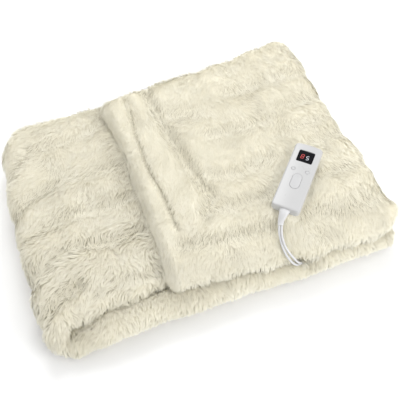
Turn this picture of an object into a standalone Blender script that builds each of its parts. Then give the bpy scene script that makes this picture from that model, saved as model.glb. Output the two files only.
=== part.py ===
"""Electric heated blanket: a long-pile throw folded for the shelf, with its lead-fed handset on top.

The throw is one cloth. It is folded in half across its width, so that it lies as a pair of leaves joined
by a round fold at the near side (-Y). That pair is then laid back and forth along X: a bottom pair, a
middle pair and a shorter flap on top, joined by a fold on the left and one on the right.
X runs along the near side, Y towards the far side, Z up from the surface that the throw rests on.
All sizes are in metres.
"""

import math

import bmesh
import bpy
import numpy as np
from mathutils import Vector, noise

# The folded throw
WIDTH = 0.640
DEPTH = 0.470
PAIR = 0.0365  # two leaves laid together
LEAF_GAP = 0.0015  # between the leaves of a pair
LOW_GAP = 0.0055  # between the bottom and the middle pair, where the leads run
HIGH_GAP = 0.0035  # between the middle pair and the flap
PUFF = 0.004  # how far the pile swells past the folds' own radius
RIGHT_INSET = 0.005  # how far the right fold stays short of the bottom pair's end
FREE_END = 0.318  # x of the bottom pair's cut end
FLAP_HEM = -0.100  # x of the flap's hem

# Levels and radii that follow from these
HALF = PAIR / 2
HALF_GAP = LEAF_GAP / 2
HEM_ROUND = (HALF - HALF_GAP) / 2
LOW = HALF
MIDDLE = LOW + PAIR + LOW_GAP
HIGH = MIDDLE + PAIR + HIGH_GAP
LEFT_TURN = (MIDDLE - LOW) / 2
RIGHT_TURN = (HIGH - MIDDLE) / 2
LEFT_CENTRE = -WIDTH / 2 + LEFT_TURN + HALF + PUFF
RIGHT_CENTRE = WIDTH / 2 - RIGHT_TURN - HALF - PUFF - RIGHT_INSET
TOP = HIGH + HALF

# From the middle of the throw as it was laid out to the middle of the box of its puffed form
TO_ORIGIN = (0.0022, 0.0074)

# Where each stretch of the cloth's middle line ends, measured along it from the bottom pair's cut end
LEFT_FOLD_STARTS = FREE_END - LEFT_CENTRE
LEFT_FOLD_ENDS = LEFT_FOLD_STARTS + math.pi * LEFT_TURN
RIGHT_FOLD_STARTS = LEFT_FOLD_ENDS + RIGHT_CENTRE - LEFT_CENTRE
RIGHT_FOLD_ENDS = RIGHT_FOLD_STARTS + math.pi * RIGHT_TURN
CLOTH_LENGTH = RIGHT_FOLD_ENDS + RIGHT_CENTRE - FLAP_HEM

# The near fold and the two far hems along the cloth. Columns are where along the middle line, y of the
# near fold, and y of the far hem on the side that starts as the underside and on the other side.
EDGES = [
    ("where", "front", "under", "over"),
    (0.0, -0.2410, 0.231, 0.226),
    (LEFT_FOLD_STARTS - 0.445, -0.2410, 0.227, 0.223),
    (LEFT_FOLD_STARTS - 0.250, -0.2340, 0.222, 0.218),
    (LEFT_FOLD_STARTS - 0.120, -0.2295, 0.228, 0.223),
    (LEFT_FOLD_STARTS, -0.2350, 0.234, 0.228),
    (LEFT_FOLD_ENDS, -0.1880, 0.231, 0.226),
    (LEFT_FOLD_ENDS + 0.150, -0.1820, 0.229, 0.225),
    (LEFT_FOLD_ENDS + 0.215, -0.1800, 0.214, 0.212),
    (LEFT_FOLD_ENDS + 0.300, -0.1780, 0.204, 0.203),
    (LEFT_FOLD_ENDS + 0.400, -0.1810, 0.206, 0.205),
    (RIGHT_FOLD_STARTS, -0.1850, 0.219, 0.221),
    (RIGHT_FOLD_ENDS, -0.2290, 0.223, 0.227),
    (RIGHT_FOLD_ENDS + 0.120, -0.2270, 0.210, 0.213),
    (RIGHT_FOLD_ENDS + 0.240, -0.2130, 0.198, 0.200),
    (CLOTH_LENGTH, -0.2000, 0.200, 0.202),
]

# The flap's hem strays from its straight line, and rounds off towards its far corner
HEM_WAVE = [
    ("y", "shift"),
    (-0.230, 0.000),
    (-0.180, -0.006),
    (-0.130, 0.000),
    (-0.030, -0.001),
    (0.090, 0.003),
    (0.160, -0.004),
    (0.200, -0.010),
]
HEM_CORNER = 0.024
HEM_CORNER_STARTS = 0.196
HEM_CORNER_ENDS = 0.226
HEM_WAVE_REACH = 0.090  # how far from the hem the cloth strays with it

# The flap's near edge hangs over the middle pair's roll
DROOP = 0.034
DROOP_STARTS = -0.150
DROOP_ENDS = -0.222

# The bottom pair's near roll rises to fill the hollow under the roll above it, but for the dip that the
# leads press into it
RIDGE = 0.0065
RIDGE_STARTS = -0.188
RIDGE_ENDS = -0.202
LEADS_DIP_MIDDLE = 0.136
LEADS_DIP_WIDTH = 0.022

# The left fold is fuller towards the near side
LEFT_FULLNESS = [("y", "rise"), (-0.24, 0.004), (-0.18, 0.009), (-0.08, 0.010), (0.08, 0.008), (0.14, 0.001)]

# The right side of all layers draws in along its middle and stands out at the near corner
RIGHT_SIDE = [
    ("y", "shift"),
    (-0.240, 0.010),
    (-0.195, 0.005),
    (-0.155, -0.005),
    (-0.110, -0.008),
    (-0.050, -0.007),
    (0.130, -0.007),
    (0.180, -0.003),
    (0.230, 0.000),
]
RIGHT_SIDE_STARTS = 0.150
RIGHT_SIDE_ENDS = 0.290

# Plan radii of the corners, with the signs of their x and y
CORNERS = [("x", "y", "radius"), (-1, -1, 0.034), (-1, 1, 0.080), (1, -1, 0.026), (1, 1, 0.022)]

# The pile: how far it stands proud between the troughs, its own ups and downs and how long and wide
# these are, and how far it thins towards the far hems
SWELL = 0.0040
UNEVEN = 0.0030
UNEVEN_LENGTH = 0.074
UNEVEN_WIDTH = 0.050
ROLL_SWELL = 0.0020
ROLL_UNEVEN = 0.0030
FLAP_FAR_DROP = 0.012
BARE_FAR_DROP = 0.006

# Soft troughs pressed into the pile, in the plan of the flap and of the part of the middle pair that
# it leaves bare. Past the folds x runs on around them.
FLAP_TROUGHS = [
    ("name", "depth", "width", "points"),
    ("seam", 0.0045, 0.0045, [(-0.060, 0.190), (-0.067, 0.116), (-0.069, 0.010), (-0.063, -0.067)]),
    ("seam near end", 0.0045, 0.0045, [(-0.063, -0.067), (-0.062, -0.120)]),
    ("seam far end", 0.0040, 0.0100, [(-0.056, 0.175), (-0.063, 0.120)]),
    ("band edge far", 0.0050, 0.0140, [(-0.018, 0.200), (-0.010, 0.095), (-0.004, 0.032)]),
    ("band edge near", 0.0050, 0.0140, [(-0.004, 0.032), (0.006, -0.039), (0.013, -0.08), (-0.006, -0.108)]),
    ("band far hollow", 0.0060, 0.0200, [(0.004, 0.118), (0.049, 0.106)]),
    ("near row", 0.0090, 0.0120, [(-0.065, -0.154), (-0.010, -0.163), (0.028, -0.164), (0.092, -0.172)]),
    ("near row right", 0.0080, 0.0120, [(0.146, -0.170), (0.170, -0.171), (0.212, -0.183), (0.330, -0.182)]),
    ("second row", 0.0080, 0.0120, [(0.005, -0.100), (0.045, -0.113), (0.070, -0.111), (0.105, -0.118)]),
    ("second row right", 0.0060, 0.0120, [(0.205, -0.104), (0.245, -0.112), (0.33, -0.106), (0.39, -0.11)]),
    ("third row", 0.0050, 0.0130, [(0.030, -0.040), (0.080, -0.052), (0.142, -0.043)]),
    ("third row right", 0.0050, 0.0130, [(0.235, -0.036), (0.290, -0.030), (0.380, -0.034)]),
    ("fourth row", 0.0045, 0.0130, [(0.195, 0.008), (0.245, 0.004), (0.310, 0.016), (0.380, 0.012)]),
    ("fifth row", 0.0045, 0.0130, [(0.060, 0.045), (0.130, 0.036), (0.180, 0.042)]),
    ("sixth row", 0.0060, 0.0120, [(0.228, 0.062), (0.275, 0.062), (0.345, 0.070), (0.390, 0.068)]),
    ("seventh row", 0.0050, 0.0130, [(0.128, 0.128), (0.172, 0.122), (0.205, 0.134)]),
    ("eighth row", 0.0050, 0.0130, [(0.240, 0.129), (0.285, 0.131), (0.350, 0.124)]),
    ("far row", 0.0060, 0.0120, [(0.03, 0.172), (0.09, 0.18), (0.162, 0.186), (0.2, 0.196), (0.33, 0.196)]),
    ("cross left", 0.0040, 0.0140, [(0.168, 0.104), (0.164, 0.060)]),
    ("cross right", 0.0050, 0.0160, [(0.206, 0.056), (0.195, 0.005)]),
    ("cross near edge", 0.0050, 0.0130, [(0.006, -0.170), (0.010, -0.230)]),
    ("cross near edge right", 0.0060, 0.0180, [(0.165, -0.205), (0.176, -0.240)]),
    ("cross right end", 0.0040, 0.0140, [(0.255, -0.002), (0.252, -0.045)]),
]
BARE_TROUGHS = [
    ("name", "depth", "width", "points"),
    ("far row", 0.0060, 0.0120, [(-0.140, 0.166), (-0.200, 0.160), (-0.262, 0.160)]),
    ("far row on fold", 0.0060, 0.0120, [(-0.262, 0.160), (-0.300, 0.134), (-0.345, 0.100), (-0.4, 0.1)]),
    ("second row", 0.0090, 0.0110, [(-0.105, 0.066), (-0.169, 0.068), (-0.230, 0.077)]),
    ("second row on fold", 0.0090, 0.0110, [(-0.230, 0.077), (-0.275, 0.062), (-0.32, 0.036), (-0.4, 0.026)]),
    ("third row", 0.0100, 0.0110, [(-0.100, -0.006), (-0.149, -0.007), (-0.225, 0.000)]),
    ("third row on fold", 0.0100, 0.0110, [(-0.225, 0.0), (-0.275, -0.012), (-0.32, -0.026), (-0.4, -0.034)]),
    ("fourth row", 0.0115, 0.0120, [(-0.100, -0.080), (-0.171, -0.080), (-0.224, -0.068)]),
    ("fourth row on fold", 0.0115, 0.012, [(-0.224, -0.068), (-0.27, -0.076), (-0.32, -0.1), (-0.4, -0.11)]),
    ("corner tuck", 0.0110, 0.0110, [(-0.245, -0.138), (-0.280, -0.146), (-0.315, -0.170), (-0.360, -0.196)]),
    ("near row", 0.0050, 0.0120, [(-0.225, -0.166), (-0.165, -0.158), (-0.120, -0.168)]),
    ("under the hem", 0.0070, 0.0160, [(-0.105, 0.200), (-0.110, 0.090), (-0.108, -0.040), (-0.112, -0.150)]),
    ("cross", 0.0035, 0.0160, [(-0.190, 0.040), (-0.186, 0.010)]),
    ("cross far", 0.0035, 0.0160, [(-0.235, 0.120), (-0.225, 0.080)]),
]

# The lengths along the cloth at which a section is drawn, closest where the cloth shows
STRETCHES = [
    ("from", "to", "step"),
    (HEM_ROUND, LEFT_FOLD_STARTS, 0.019),
    (LEFT_FOLD_STARTS, LEFT_FOLD_ENDS, 0.0075),
    (LEFT_FOLD_ENDS, LEFT_FOLD_ENDS + 0.205, 0.0135),
    (LEFT_FOLD_ENDS + 0.205, RIGHT_FOLD_STARTS, 0.030),
    (RIGHT_FOLD_STARTS, RIGHT_FOLD_ENDS, 0.0075),
    (RIGHT_FOLD_ENDS, RIGHT_FOLD_ENDS + 0.318, 0.0135),
    (RIGHT_FOLD_ENDS + 0.318, CLOTH_LENGTH - HEM_ROUND, 0.0055),
]
HEM_ANGLES = [math.radians(a) for a in (78, 50, 25)]
FACES_KEPT = 0.33  # share of the throw's faces that its decimation keeps

# The handset, where it lies and the turn of its long side from +Y
HANDSET_LENGTH = 0.140
HANDSET_WIDTH = 0.050
HANDSET_HEIGHT = 0.018
HANDSET_X = 0.162
HANDSET_Y = -0.111
HANDSET_TURN = math.radians(-43.9)
CROWN = 0.0016  # rise of its top across its width
PLAN_ROUND = 0.006  # radius of its corners in plan
END_ROUND = 0.0022  # and of its end edges
LOW_ROUND = 0.005  # and of its long lower edges
HIGH_ROUND = 0.004  # and of its long upper edges
GAP = 0.0003  # left between pieces that touch

# The pile is pressed to this height under the handset, and rises again around it
SEAT = TOP + 0.0012
SEAT_MARGIN = 0.003
SEAT_SLOPE = 0.022
HANDSET_BASE = SEAT + 0.0005

# What sits in wells in the handset's top. Proud is how far it stands over the well's rim, well is the
# well's depth, room what is left under the piece, and around what is left beside it.
FITTINGS = [
    ("name", "across", "along", "width", "length", "corner", "proud", "well", "room", "around"),
    ("display_window", 0.0, 0.0425, 0.0280, 0.0250, 0.0022, -0.0002, 0.0030, 0.0003, 0.0003),
    ("left_button", -0.0125, 0.0115, 0.0066, 0.0066, 0.0033, 0.0008, 0.0050, 0.0014, 0.0004),
    ("right_button", 0.0125, 0.0115, 0.0066, 0.0066, 0.0033, 0.0008, 0.0050, 0.0014, 0.0004),
    ("level_key", 0.0, -0.0130, 0.0164, 0.0320, 0.0082, 0.0008, 0.0050, 0.0014, 0.0004),
]
FITTING_ROUND = 0.0008  # radius of the upper edges of the buttons and the key

# The sleeve on the leads where they leave the handset, from its end face to its tip
RELIEF_TIP = Vector((0.1003, -0.1768, 0.1122))
RELIEF_TIP_HEADING = Vector((-0.35, -0.80, -0.47)).normalized()
RELIEF_RISE = 0.0088  # of its root over the handset's underside
RELIEF_ROOT = (0.0092, 0.0052)  # half its width and height there
RELIEF_END = (0.0048, 0.0026)  # and at its tip
RELIEF_EASE = 0.36  # how long it keeps each end's heading, as a share of its length
RELIEF_STEPS = 7

# The leads: one to the mains plug, one that goes back into the throw
LEAD = 0.0040  # across
LEAD_STEP = 0.0120  # between the points of a lead's line
MAINS_LEAD_LENGTH = 2.10
MAINS_ROUTE = [
    (0.0981, -0.1763, 0.1120),
    (0.0950, -0.1838, 0.1072),
    (0.0933, -0.1925, 0.1022),
    (0.0921, -0.2030, 0.0962),
    (0.0930, -0.2140, 0.0888),
    (0.0967, -0.2232, 0.0797),
    (0.1030, -0.2288, 0.0685),
    (0.1108, -0.2298, 0.0570),
    (0.1200, -0.2275, 0.0485),
    (0.1295, -0.2235, 0.0445),
    (0.1365, -0.2160, 0.0420),
    (0.1400, -0.2060, 0.0402),
    (0.1410, -0.1940, 0.0393),
    (0.1405, -0.1800, 0.03925),
    (0.1390, -0.1500, 0.03925),
    (0.1370, -0.1000, 0.03925),
    (0.1345, -0.0500, 0.03925),
    (0.1320, 0.0000, 0.03925),
    (0.1310, 0.0600, 0.03925),
    (0.1340, 0.1200, 0.03925),
    (0.1380, 0.1700, 0.03925),
    (0.1405, 0.2080, 0.03925),
    (0.1410, 0.2175, 0.0388),
    (0.1415, 0.2250, 0.0345),
    (0.1415, 0.2290, 0.0260),
    (0.1415, 0.2315, 0.0165),
    (0.1408, 0.2370, 0.0080),
    (0.1385, 0.2450, 0.0035),
    (0.1340, 0.2550, 0.0022),
    (0.1270, 0.2655, 0.0022),
    (0.1180, 0.2745, 0.0022),
    (0.1083, 0.2822, 0.0022),
]
THROW_ROUTE = [
    (0.1021, -0.1781, 0.1120),
    (0.0983, -0.1865, 0.1085),
    (0.0960, -0.1950, 0.1045),
    (0.0955, -0.2035, 0.0992),
    (0.0972, -0.2122, 0.0922),
    (0.1010, -0.2206, 0.0852),
    (0.1067, -0.2264, 0.0759),
    (0.1130, -0.2296, 0.0650),
    (0.1200, -0.2288, 0.0560),
    (0.1275, -0.2235, 0.0505),
    (0.1333, -0.2155, 0.0468),
    (0.1354, -0.2060, 0.0427),
    (0.1360, -0.1950, 0.0398),
    (0.1355, -0.1800, 0.03925),
    (0.1300, -0.1500, 0.03925),
    (0.1180, -0.1200, 0.03925),
    (0.1000, -0.0900, 0.03925),
    (0.0820, -0.0620, 0.03925),
]
PLUG_END_ROUTE = [
    (0.0594, 0.2911, 0.0115),
    (0.0500, 0.2888, 0.0085),
    (0.0410, 0.2858, 0.0072),
    (0.0330, 0.2845, 0.0070),
]

# The mains lead's spare length, wound up behind the throw
COIL_MIDDLE = (0.0800, 0.2668)
COIL_RADIUS = 0.0235  # at the middle of its turns
COIL_TURNS_WIDE = 3
COIL_TURNS_HIGH = 4
COIL_SIDES = 40

# The plug: a flat two-pin moulding that lies beside the coil, its pins towards -X. Columns are the
# distance back from its pin face, its half width and its half height there.
PLUG_FACE = (-0.0010, 0.2845, 0.0070)
PLUG_SECTIONS = [
    ("back", "half_width", "half_height"),
    (0.0000, 0.0122, 0.0062),
    (0.0012, 0.0131, 0.0068),
    (0.0100, 0.0131, 0.0068),
    (0.0170, 0.0118, 0.0066),
    (0.0235, 0.0072, 0.0058),
    (0.0260, 0.0050, 0.0048),
    (0.0335, 0.0034, 0.0034),
]
PLUG_SIDES = 24
PLUG_SQUARENESS = (0.62, 0.55)  # powers that square its section's circle, across and up
PIN_SPREAD = 0.0186
PIN_LENGTH = 0.0190
PIN_RADIUS = 0.0020
PIN_TIP = 0.0012
PIN_SIDES = 14


def ramp(value, start, end):
    """From 0 at start to 1 at end, level at both."""
    t = np.clip((value - start) / (end - start), 0.0, 1.0)
    return t * t * (3 - 2 * t)


def rows_of(table):
    """A table's rows as dictionaries under the names in its first row."""
    return [dict(zip(table[0], row)) for row in table[1:]]


def read_off(table, key, value, at):
    """The table's value column at the points of its key column, straight between them."""
    rows = rows_of(table)
    return np.interp(at, [row[key] for row in rows], [row[value] for row in rows])


def material(name, colour, roughness, metallic=0.0):
    made = bpy.data.materials.new(name)
    made.use_nodes = True
    shader = made.node_tree.nodes["Principled BSDF"]
    shader.inputs["Base Color"].default_value = (*colour, 1)
    shader.inputs["Roughness"].default_value = roughness
    shader.inputs["Metallic"].default_value = metallic
    return made


def add_object(name, data, finish, parent=None, place=(0, 0, 0)):
    made = bpy.data.objects.new(name, data)
    data.materials.append(finish)
    bpy.context.scene.collection.objects.link(made)
    made.parent = parent
    made.location = place
    return made


def mesh_from(bm, name, sharp_over=math.radians(40)):
    bmesh.ops.recalc_face_normals(bm, faces=bm.faces)
    mesh = bpy.data.meshes.new(name)
    bm.to_mesh(mesh)
    bm.free()
    mesh.shade_smooth()
    mesh.set_sharp_from_angle(angle=sharp_over)
    return mesh


def bridge(bm, one, two):
    """Faces between two rings of as many points."""
    for i in range(len(one)):
        j = (i + 1) % len(one)
        bm.faces.new((one[i], one[j], two[j], two[i]))


def loft(name, rings):
    """A closed skin through rings of points, filled at its two ends."""
    bm = bmesh.new()
    loops = [[bm.verts.new(point) for point in ring] for ring in rings]
    for one, two in zip(loops, loops[1:]):
        bridge(bm, one, two)
    bm.faces.new(reversed(loops[0]))
    bm.faces.new(loops[-1])
    return mesh_from(bm, name)


def circle(radius, sides):
    angles = np.linspace(0, 2 * math.pi, sides + 1)[:-1]
    return [(radius * math.cos(a), radius * math.sin(a)) for a in angles]


# The throw


def middle_line(s):
    """x, z and heading of the cloth's middle line at the lengths s from the bottom pair's cut end."""
    left = np.clip((s - LEFT_FOLD_STARTS) / LEFT_TURN, 0, math.pi)
    right = np.clip((s - RIGHT_FOLD_STARTS) / RIGHT_TURN, 0, math.pi)
    x = (
        FREE_END
        - np.minimum(s, LEFT_FOLD_STARTS)
        - LEFT_TURN * np.sin(left)
        + np.clip(s - LEFT_FOLD_ENDS, 0, RIGHT_CENTRE - LEFT_CENTRE)
        + RIGHT_TURN * np.sin(right)
        - np.clip(s - RIGHT_FOLD_ENDS, 0, None)
    )
    z = LOW + LEFT_TURN * (1 - np.cos(left)) + RIGHT_TURN * (1 - np.cos(right))
    return x, z, math.pi - left + right


def troughs(x, y, table):
    """How deep the table's troughs press in at the points x, y. Crossing troughs don't add up."""
    depth = np.zeros_like(x)
    for row in rows_of(table):
        nearest = np.full_like(x, np.inf)
        for (x0, y0), (x1, y1) in zip(row["points"], row["points"][1:]):
            long_x, long_y = x1 - x0, y1 - y0
            along = ((x - x0) * long_x + (y - y0) * long_y) / (long_x**2 + long_y**2)
            along = np.clip(along, 0, 1)
            nearest = np.minimum(nearest, np.hypot(x - x0 - along * long_x, y - y0 - along * long_y))
        depth = np.maximum(depth, row["depth"] * np.exp(-((nearest / row["width"]) ** 2)))
    return depth


def unevenness(x, y, layer):
    """Slow ups and downs between -1 and 1, different on each layer."""
    places = zip(x.ravel() / UNEVEN_LENGTH, y.ravel() / UNEVEN_WIDTH)
    return np.reshape([noise.noise(Vector((u, v, layer))) for u, v in places], x.shape)


def handset_reach(x, y):
    """How far the plan points x, y lie outside the handset's outline."""
    turn_cos, turn_sin = math.cos(HANDSET_TURN), math.sin(HANDSET_TURN)
    dx, dy = x - HANDSET_X, y - HANDSET_Y
    across = np.abs(dx * turn_cos + dy * turn_sin) - HANDSET_WIDTH / 2
    along = np.abs(dy * turn_cos - dx * turn_sin) - HANDSET_LENGTH / 2
    return np.hypot(np.maximum(across, 0), np.maximum(along, 0))


def flap_relief(s, x, y):
    """Height of the pile on the flap and around the right fold, over the plain folded form."""
    shown = ramp(s, RIGHT_FOLD_STARTS, RIGHT_FOLD_STARTS + 1.2 * RIGHT_TURN)
    at_hem = ramp(s, CLOTH_LENGTH - 0.004, CLOTH_LENGTH - 0.016)
    shallow = 1 - 0.5 * ramp(x, RIGHT_CENTRE, RIGHT_CENTRE + 0.04)
    height = SWELL * (0.35 + 0.65 * at_hem) + UNEVEN * unevenness(x, y, 3.7)
    height = height - shallow * troughs(x, y, FLAP_TROUGHS) - FLAP_FAR_DROP * ramp(y, 0.150, 0.220)
    pressed = 1 - ramp(handset_reach(x, y), SEAT_MARGIN, SEAT_MARGIN + SEAT_SLOPE)
    return shown * (height + pressed * (SEAT - TOP - height))


def bare_relief(s, x, y):
    """The same on the left fold and on the part of the middle pair beside the flap."""
    shown = ramp(s, LEFT_FOLD_STARTS, LEFT_FOLD_STARTS + 1.2 * LEFT_TURN)
    shown = shown * (1 - ramp(x, FLAP_HEM + 0.005, FLAP_HEM + 0.035))
    shallow = 1 - 0.45 * ramp(x, LEFT_CENTRE, LEFT_CENTRE - 0.04)
    height = SWELL + UNEVEN * unevenness(x, y, 1.3) - shallow * troughs(x, y, BARE_TROUGHS)
    height = height - BARE_FAR_DROP * ramp(y, 0.185, 0.230)
    around_fold = np.sin(np.clip((s - LEFT_FOLD_STARTS) / LEFT_TURN, 0, math.pi))
    return shown * height + read_off(LEFT_FULLNESS, "y", "rise", y) * around_fold**2


def bottom_relief(s, x, y):
    """The ridge along the bottom pair's near roll."""
    dip = np.exp(-(((x - LEADS_DIP_MIDDLE) / LEADS_DIP_WIDTH) ** 4))
    flat = 1 - ramp(s, LEFT_FOLD_STARTS, LEFT_FOLD_STARTS + LEFT_TURN)
    return RIDGE * ramp(y, RIDGE_STARTS, RIDGE_ENDS) * flat * (1 - dip)


def roll_relief(s, x):
    """Uneven swelling along the near folds."""
    return ROLL_SWELL + ROLL_UNEVEN * unevenness(x * 1.25, 0.4 * s, 8.1)


def cloth_ring(s, inset, faces=34, turn=9, hem=4, inner=10):
    """One closed section across the pair of leaves: y, n across the pair, the outward direction in y
    and n, and the angle around the near fold, from 0 on one side to pi on the other and -1 inside."""
    half, half_gap = HALF - inset, HALF_GAP + inset
    round_ = (half - half_gap) / 2
    centre = read_off(EDGES, "where", "front", s) + HALF
    under = read_off(EDGES, "where", "under", s) - inset - round_
    over = read_off(EDGES, "where", "over", s) - inset - round_
    quarter = math.pi / 2
    section = []

    def straight(y0, y1, n, out, angle, count):
        for y in np.linspace(y0, y1, count):
            section.append((y, n, 0.0, out, angle))

    def arc(y, n, radius, start, end, count, angle_of):
        for a in np.linspace(start, end, count + 2)[1:-1]:
            out_y, out_n = math.cos(a), math.sin(a)
            section.append((y + radius * out_y, n + radius * out_n, out_y, out_n, angle_of(a)))

    straight(under, centre, half, 1.0, 0.0, faces)
    arc(centre, 0, half, quarter, 3 * quarter, turn, lambda a: a - quarter)
    straight(centre, over, -half, -1.0, math.pi, faces)
    arc(over, -(half + half_gap) / 2, round_, -quarter, quarter, hem, lambda a: -1.0)
    straight(over, centre, -half_gap, 0.0, -1.0, inner)
    arc(centre, 0, half_gap, 3 * quarter, quarter, 2, lambda a: -1.0)
    straight(centre, under, half_gap, 0.0, -1.0, inner)
    arc(under, (half + half_gap) / 2, round_, -quarter, quarter, hem, lambda a: -1.0)
    return np.array(section).T, centre


def rounded_corners(x, y):
    """Draws the square corners of the plan in to their radii, and nothing else."""
    for row in rows_of(CORNERS):
        radius = row["radius"]
        a = np.clip((x * row["x"] - WIDTH / 2 + radius) / radius, 0, 1)
        b = np.clip((y * row["y"] - DEPTH / 2 + radius) / radius, 0, 1)
        x = x - row["x"] * radius * a * (1 - np.sqrt(1 - b * b / 2))
        y = y - row["y"] * radius * b * (1 - np.sqrt(1 - a * a / 2))
    return x, y


def hem_shift(y):
    """How far the flap's hem lies towards +X of its straight line."""
    return read_off(HEM_WAVE, "y", "shift", y) + HEM_CORNER * ramp(y, HEM_CORNER_STARTS, HEM_CORNER_ENDS) ** 2


def cloth_points(s, inset=0.0):
    """World points of the section at the length s along the cloth."""
    (y, n, out_y, out_n, angle), centre = cloth_ring(s, inset)
    strays = ramp(s, CLOTH_LENGTH - HEM_WAVE_REACH, CLOTH_LENGTH)
    along = s - hem_shift(y) * strays
    x, z, heading = middle_line(along)
    # The plan places that the relief is drawn in run on around the folds and over the near roll
    outer = 1 + HALF / LEFT_TURN
    bare_x = np.where(along < LEFT_FOLD_ENDS, LEFT_CENTRE - (LEFT_FOLD_ENDS - along) * outer, x)
    flap_x = np.where(along < RIGHT_FOLD_ENDS, RIGHT_CENTRE + (RIGHT_FOLD_ENDS - along) * outer, x)
    around = np.clip(angle, 0, math.pi)
    bare_y = np.where(around > 0, centre - HALF * around, y)
    flap_y = np.where(around < math.pi, centre - HALF * (math.pi - around), y)
    bare_share = np.cos(around / 2) ** 2
    relief = bare_share * bare_relief(along, bare_x, bare_y)
    relief += (1 - bare_share) * (flap_relief(along, flap_x, flap_y) + bottom_relief(along, x, flap_y))
    relief += np.sin(around) ** 2 * roll_relief(along, x)
    relief = np.where(angle < 0, 0.0, relief)
    y = y + out_y * relief
    n = n + out_n * relief
    hangs = ramp(along, RIGHT_FOLD_STARTS, RIGHT_FOLD_ENDS + 0.03) * ramp(y, DROOP_STARTS, DROOP_ENDS)
    world_x = x - n * np.sin(heading)
    world_z = z + n * np.cos(heading) - DROOP * hangs
    side_shift = read_off(RIGHT_SIDE, "y", "shift", y)
    world_x = world_x + side_shift * ramp(world_x, RIGHT_SIDE_STARTS, RIGHT_SIDE_ENDS)
    world_x, y = rounded_corners(world_x, y)
    return np.stack([world_x, y, np.maximum(world_z, 0.0)], axis=1)


def cloth_stations():
    stations = [HEM_ROUND]
    for row in rows_of(STRETCHES):
        count = max(1, round((row["to"] - row["from"]) / row["step"]))
        stations += list(np.linspace(row["from"], row["to"], count + 1)[1:])
    return stations


def make_throw(finish):
    hem = [(HEM_ROUND * (1 - math.sin(a)), HEM_ROUND * (1 - math.cos(a))) for a in HEM_ANGLES]
    rings = [cloth_points(reach, inset) for reach, inset in hem]
    rings += [cloth_points(s) for s in cloth_stations()]
    rings += [cloth_points(CLOTH_LENGTH - reach, inset) for reach, inset in reversed(hem)]
    throw = add_object("throw", loft("throw", rings), finish)
    fewer = throw.modifiers.new("Fewer faces", "DECIMATE")
    fewer.ratio = FACES_KEPT


# The handset


def handset_section(inset_across, inset_up):
    """The handset's outline across its width, drawn in by the two insets."""
    half, shoulder, middle = HANDSET_WIDTH / 2, HANDSET_HEIGHT - CROWN, HANDSET_HEIGHT / 2
    rim = half - HIGH_ROUND
    points = []

    def arc(x, z, radius, start, end):
        for a in np.radians(np.linspace(start, end, 5)):
            points.append((x + radius * math.cos(a), z + radius * math.sin(a)))

    arc(half - LOW_ROUND, LOW_ROUND, LOW_ROUND, -90, 0)
    arc(rim, shoulder - HIGH_ROUND, HIGH_ROUND, 0, 80)
    for x in np.linspace(rim, -rim, 13)[1:-1]:
        points.append((x, crown_height(x)))
    arc(-rim, shoulder - HIGH_ROUND, HIGH_ROUND, 100, 180)
    arc(LOW_ROUND - half, LOW_ROUND, LOW_ROUND, 180, 270)
    narrower, lower = 1 - inset_across / half, 1 - inset_up / middle
    return [(x * narrower, middle + (z - middle) * lower) for x, z in points]


def crown_height(across):
    rim = HANDSET_WIDTH / 2 - HIGH_ROUND
    return HANDSET_HEIGHT - CROWN * (across / rim) ** 2


def rounded_inset(reach, radius):
    """How far a rounded edge draws in at a distance from the end that it rounds."""
    left = max(radius - reach, 0)
    return radius - math.sqrt(radius**2 - left**2)


def shell_mesh():
    reaches = [0, 0.0003, 0.0009, END_ROUND, 0.0038, PLAN_ROUND]
    rings = []
    for side, order in ((-1, reaches), (1, reaches[::-1])):
        for reach in order:
            section = handset_section(rounded_inset(reach, PLAN_ROUND), rounded_inset(reach, END_ROUND))
            rings.append([(x, side * (HANDSET_LENGTH / 2 - reach), z) for x, z in section])
    return loft("handset_shell", rings)


def rounded_plan(width, length, corner, steps=6):
    """A rectangle's outline with round corners, anticlockwise, with no point twice."""
    points = []
    for side_x, side_y, start in ((1, 1, 0), (-1, 1, 90), (-1, -1, 180), (1, -1, 270)):
        for a in np.radians(np.linspace(start, start + 90, steps)):
            x = side_x * (width / 2 - corner) + corner * math.cos(a)
            y = side_y * (length / 2 - corner) + corner * math.sin(a)
            if not points or min(math.dist((x, y), points[0]), math.dist((x, y), points[-1])) > 1e-5:
                points.append((x, y))
    return points


def plate_mesh(name, width, length, corner, low, high, edge_round):
    """A flat plate with round corners, its upper edge rounded."""
    rings = [[(x, y, low) for x, y in rounded_plan(width, length, corner)]]
    for a in np.radians([0, 35, 65, 90]) if edge_round else [math.pi / 2]:
        inset = edge_round * (1 - math.cos(a))
        level = high - edge_round * (1 - math.sin(a))
        outline = rounded_plan(width - 2 * inset, length - 2 * inset, corner - inset)
        rings.append([(x, y, level) for x, y in outline])
    return loft(name, rings)


def cut_well(shell, row, floor, finish):
    wider = 2 * row["around"]
    outline = (row["width"] + wider, row["length"] + wider, row["corner"] + row["around"])
    mesh = plate_mesh(row["name"] + "_well", *outline, floor, HANDSET_HEIGHT + 0.002, 0.0)
    cutter = add_object(mesh.name, mesh, finish, shell.parent, (row["across"], row["along"], 0))
    cutter.hide_render = True
    cutter.display_type = "WIRE"
    cut = shell.modifiers.new(row["name"], "BOOLEAN")
    cut.operation = "DIFFERENCE"
    cut.object = cutter


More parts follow.
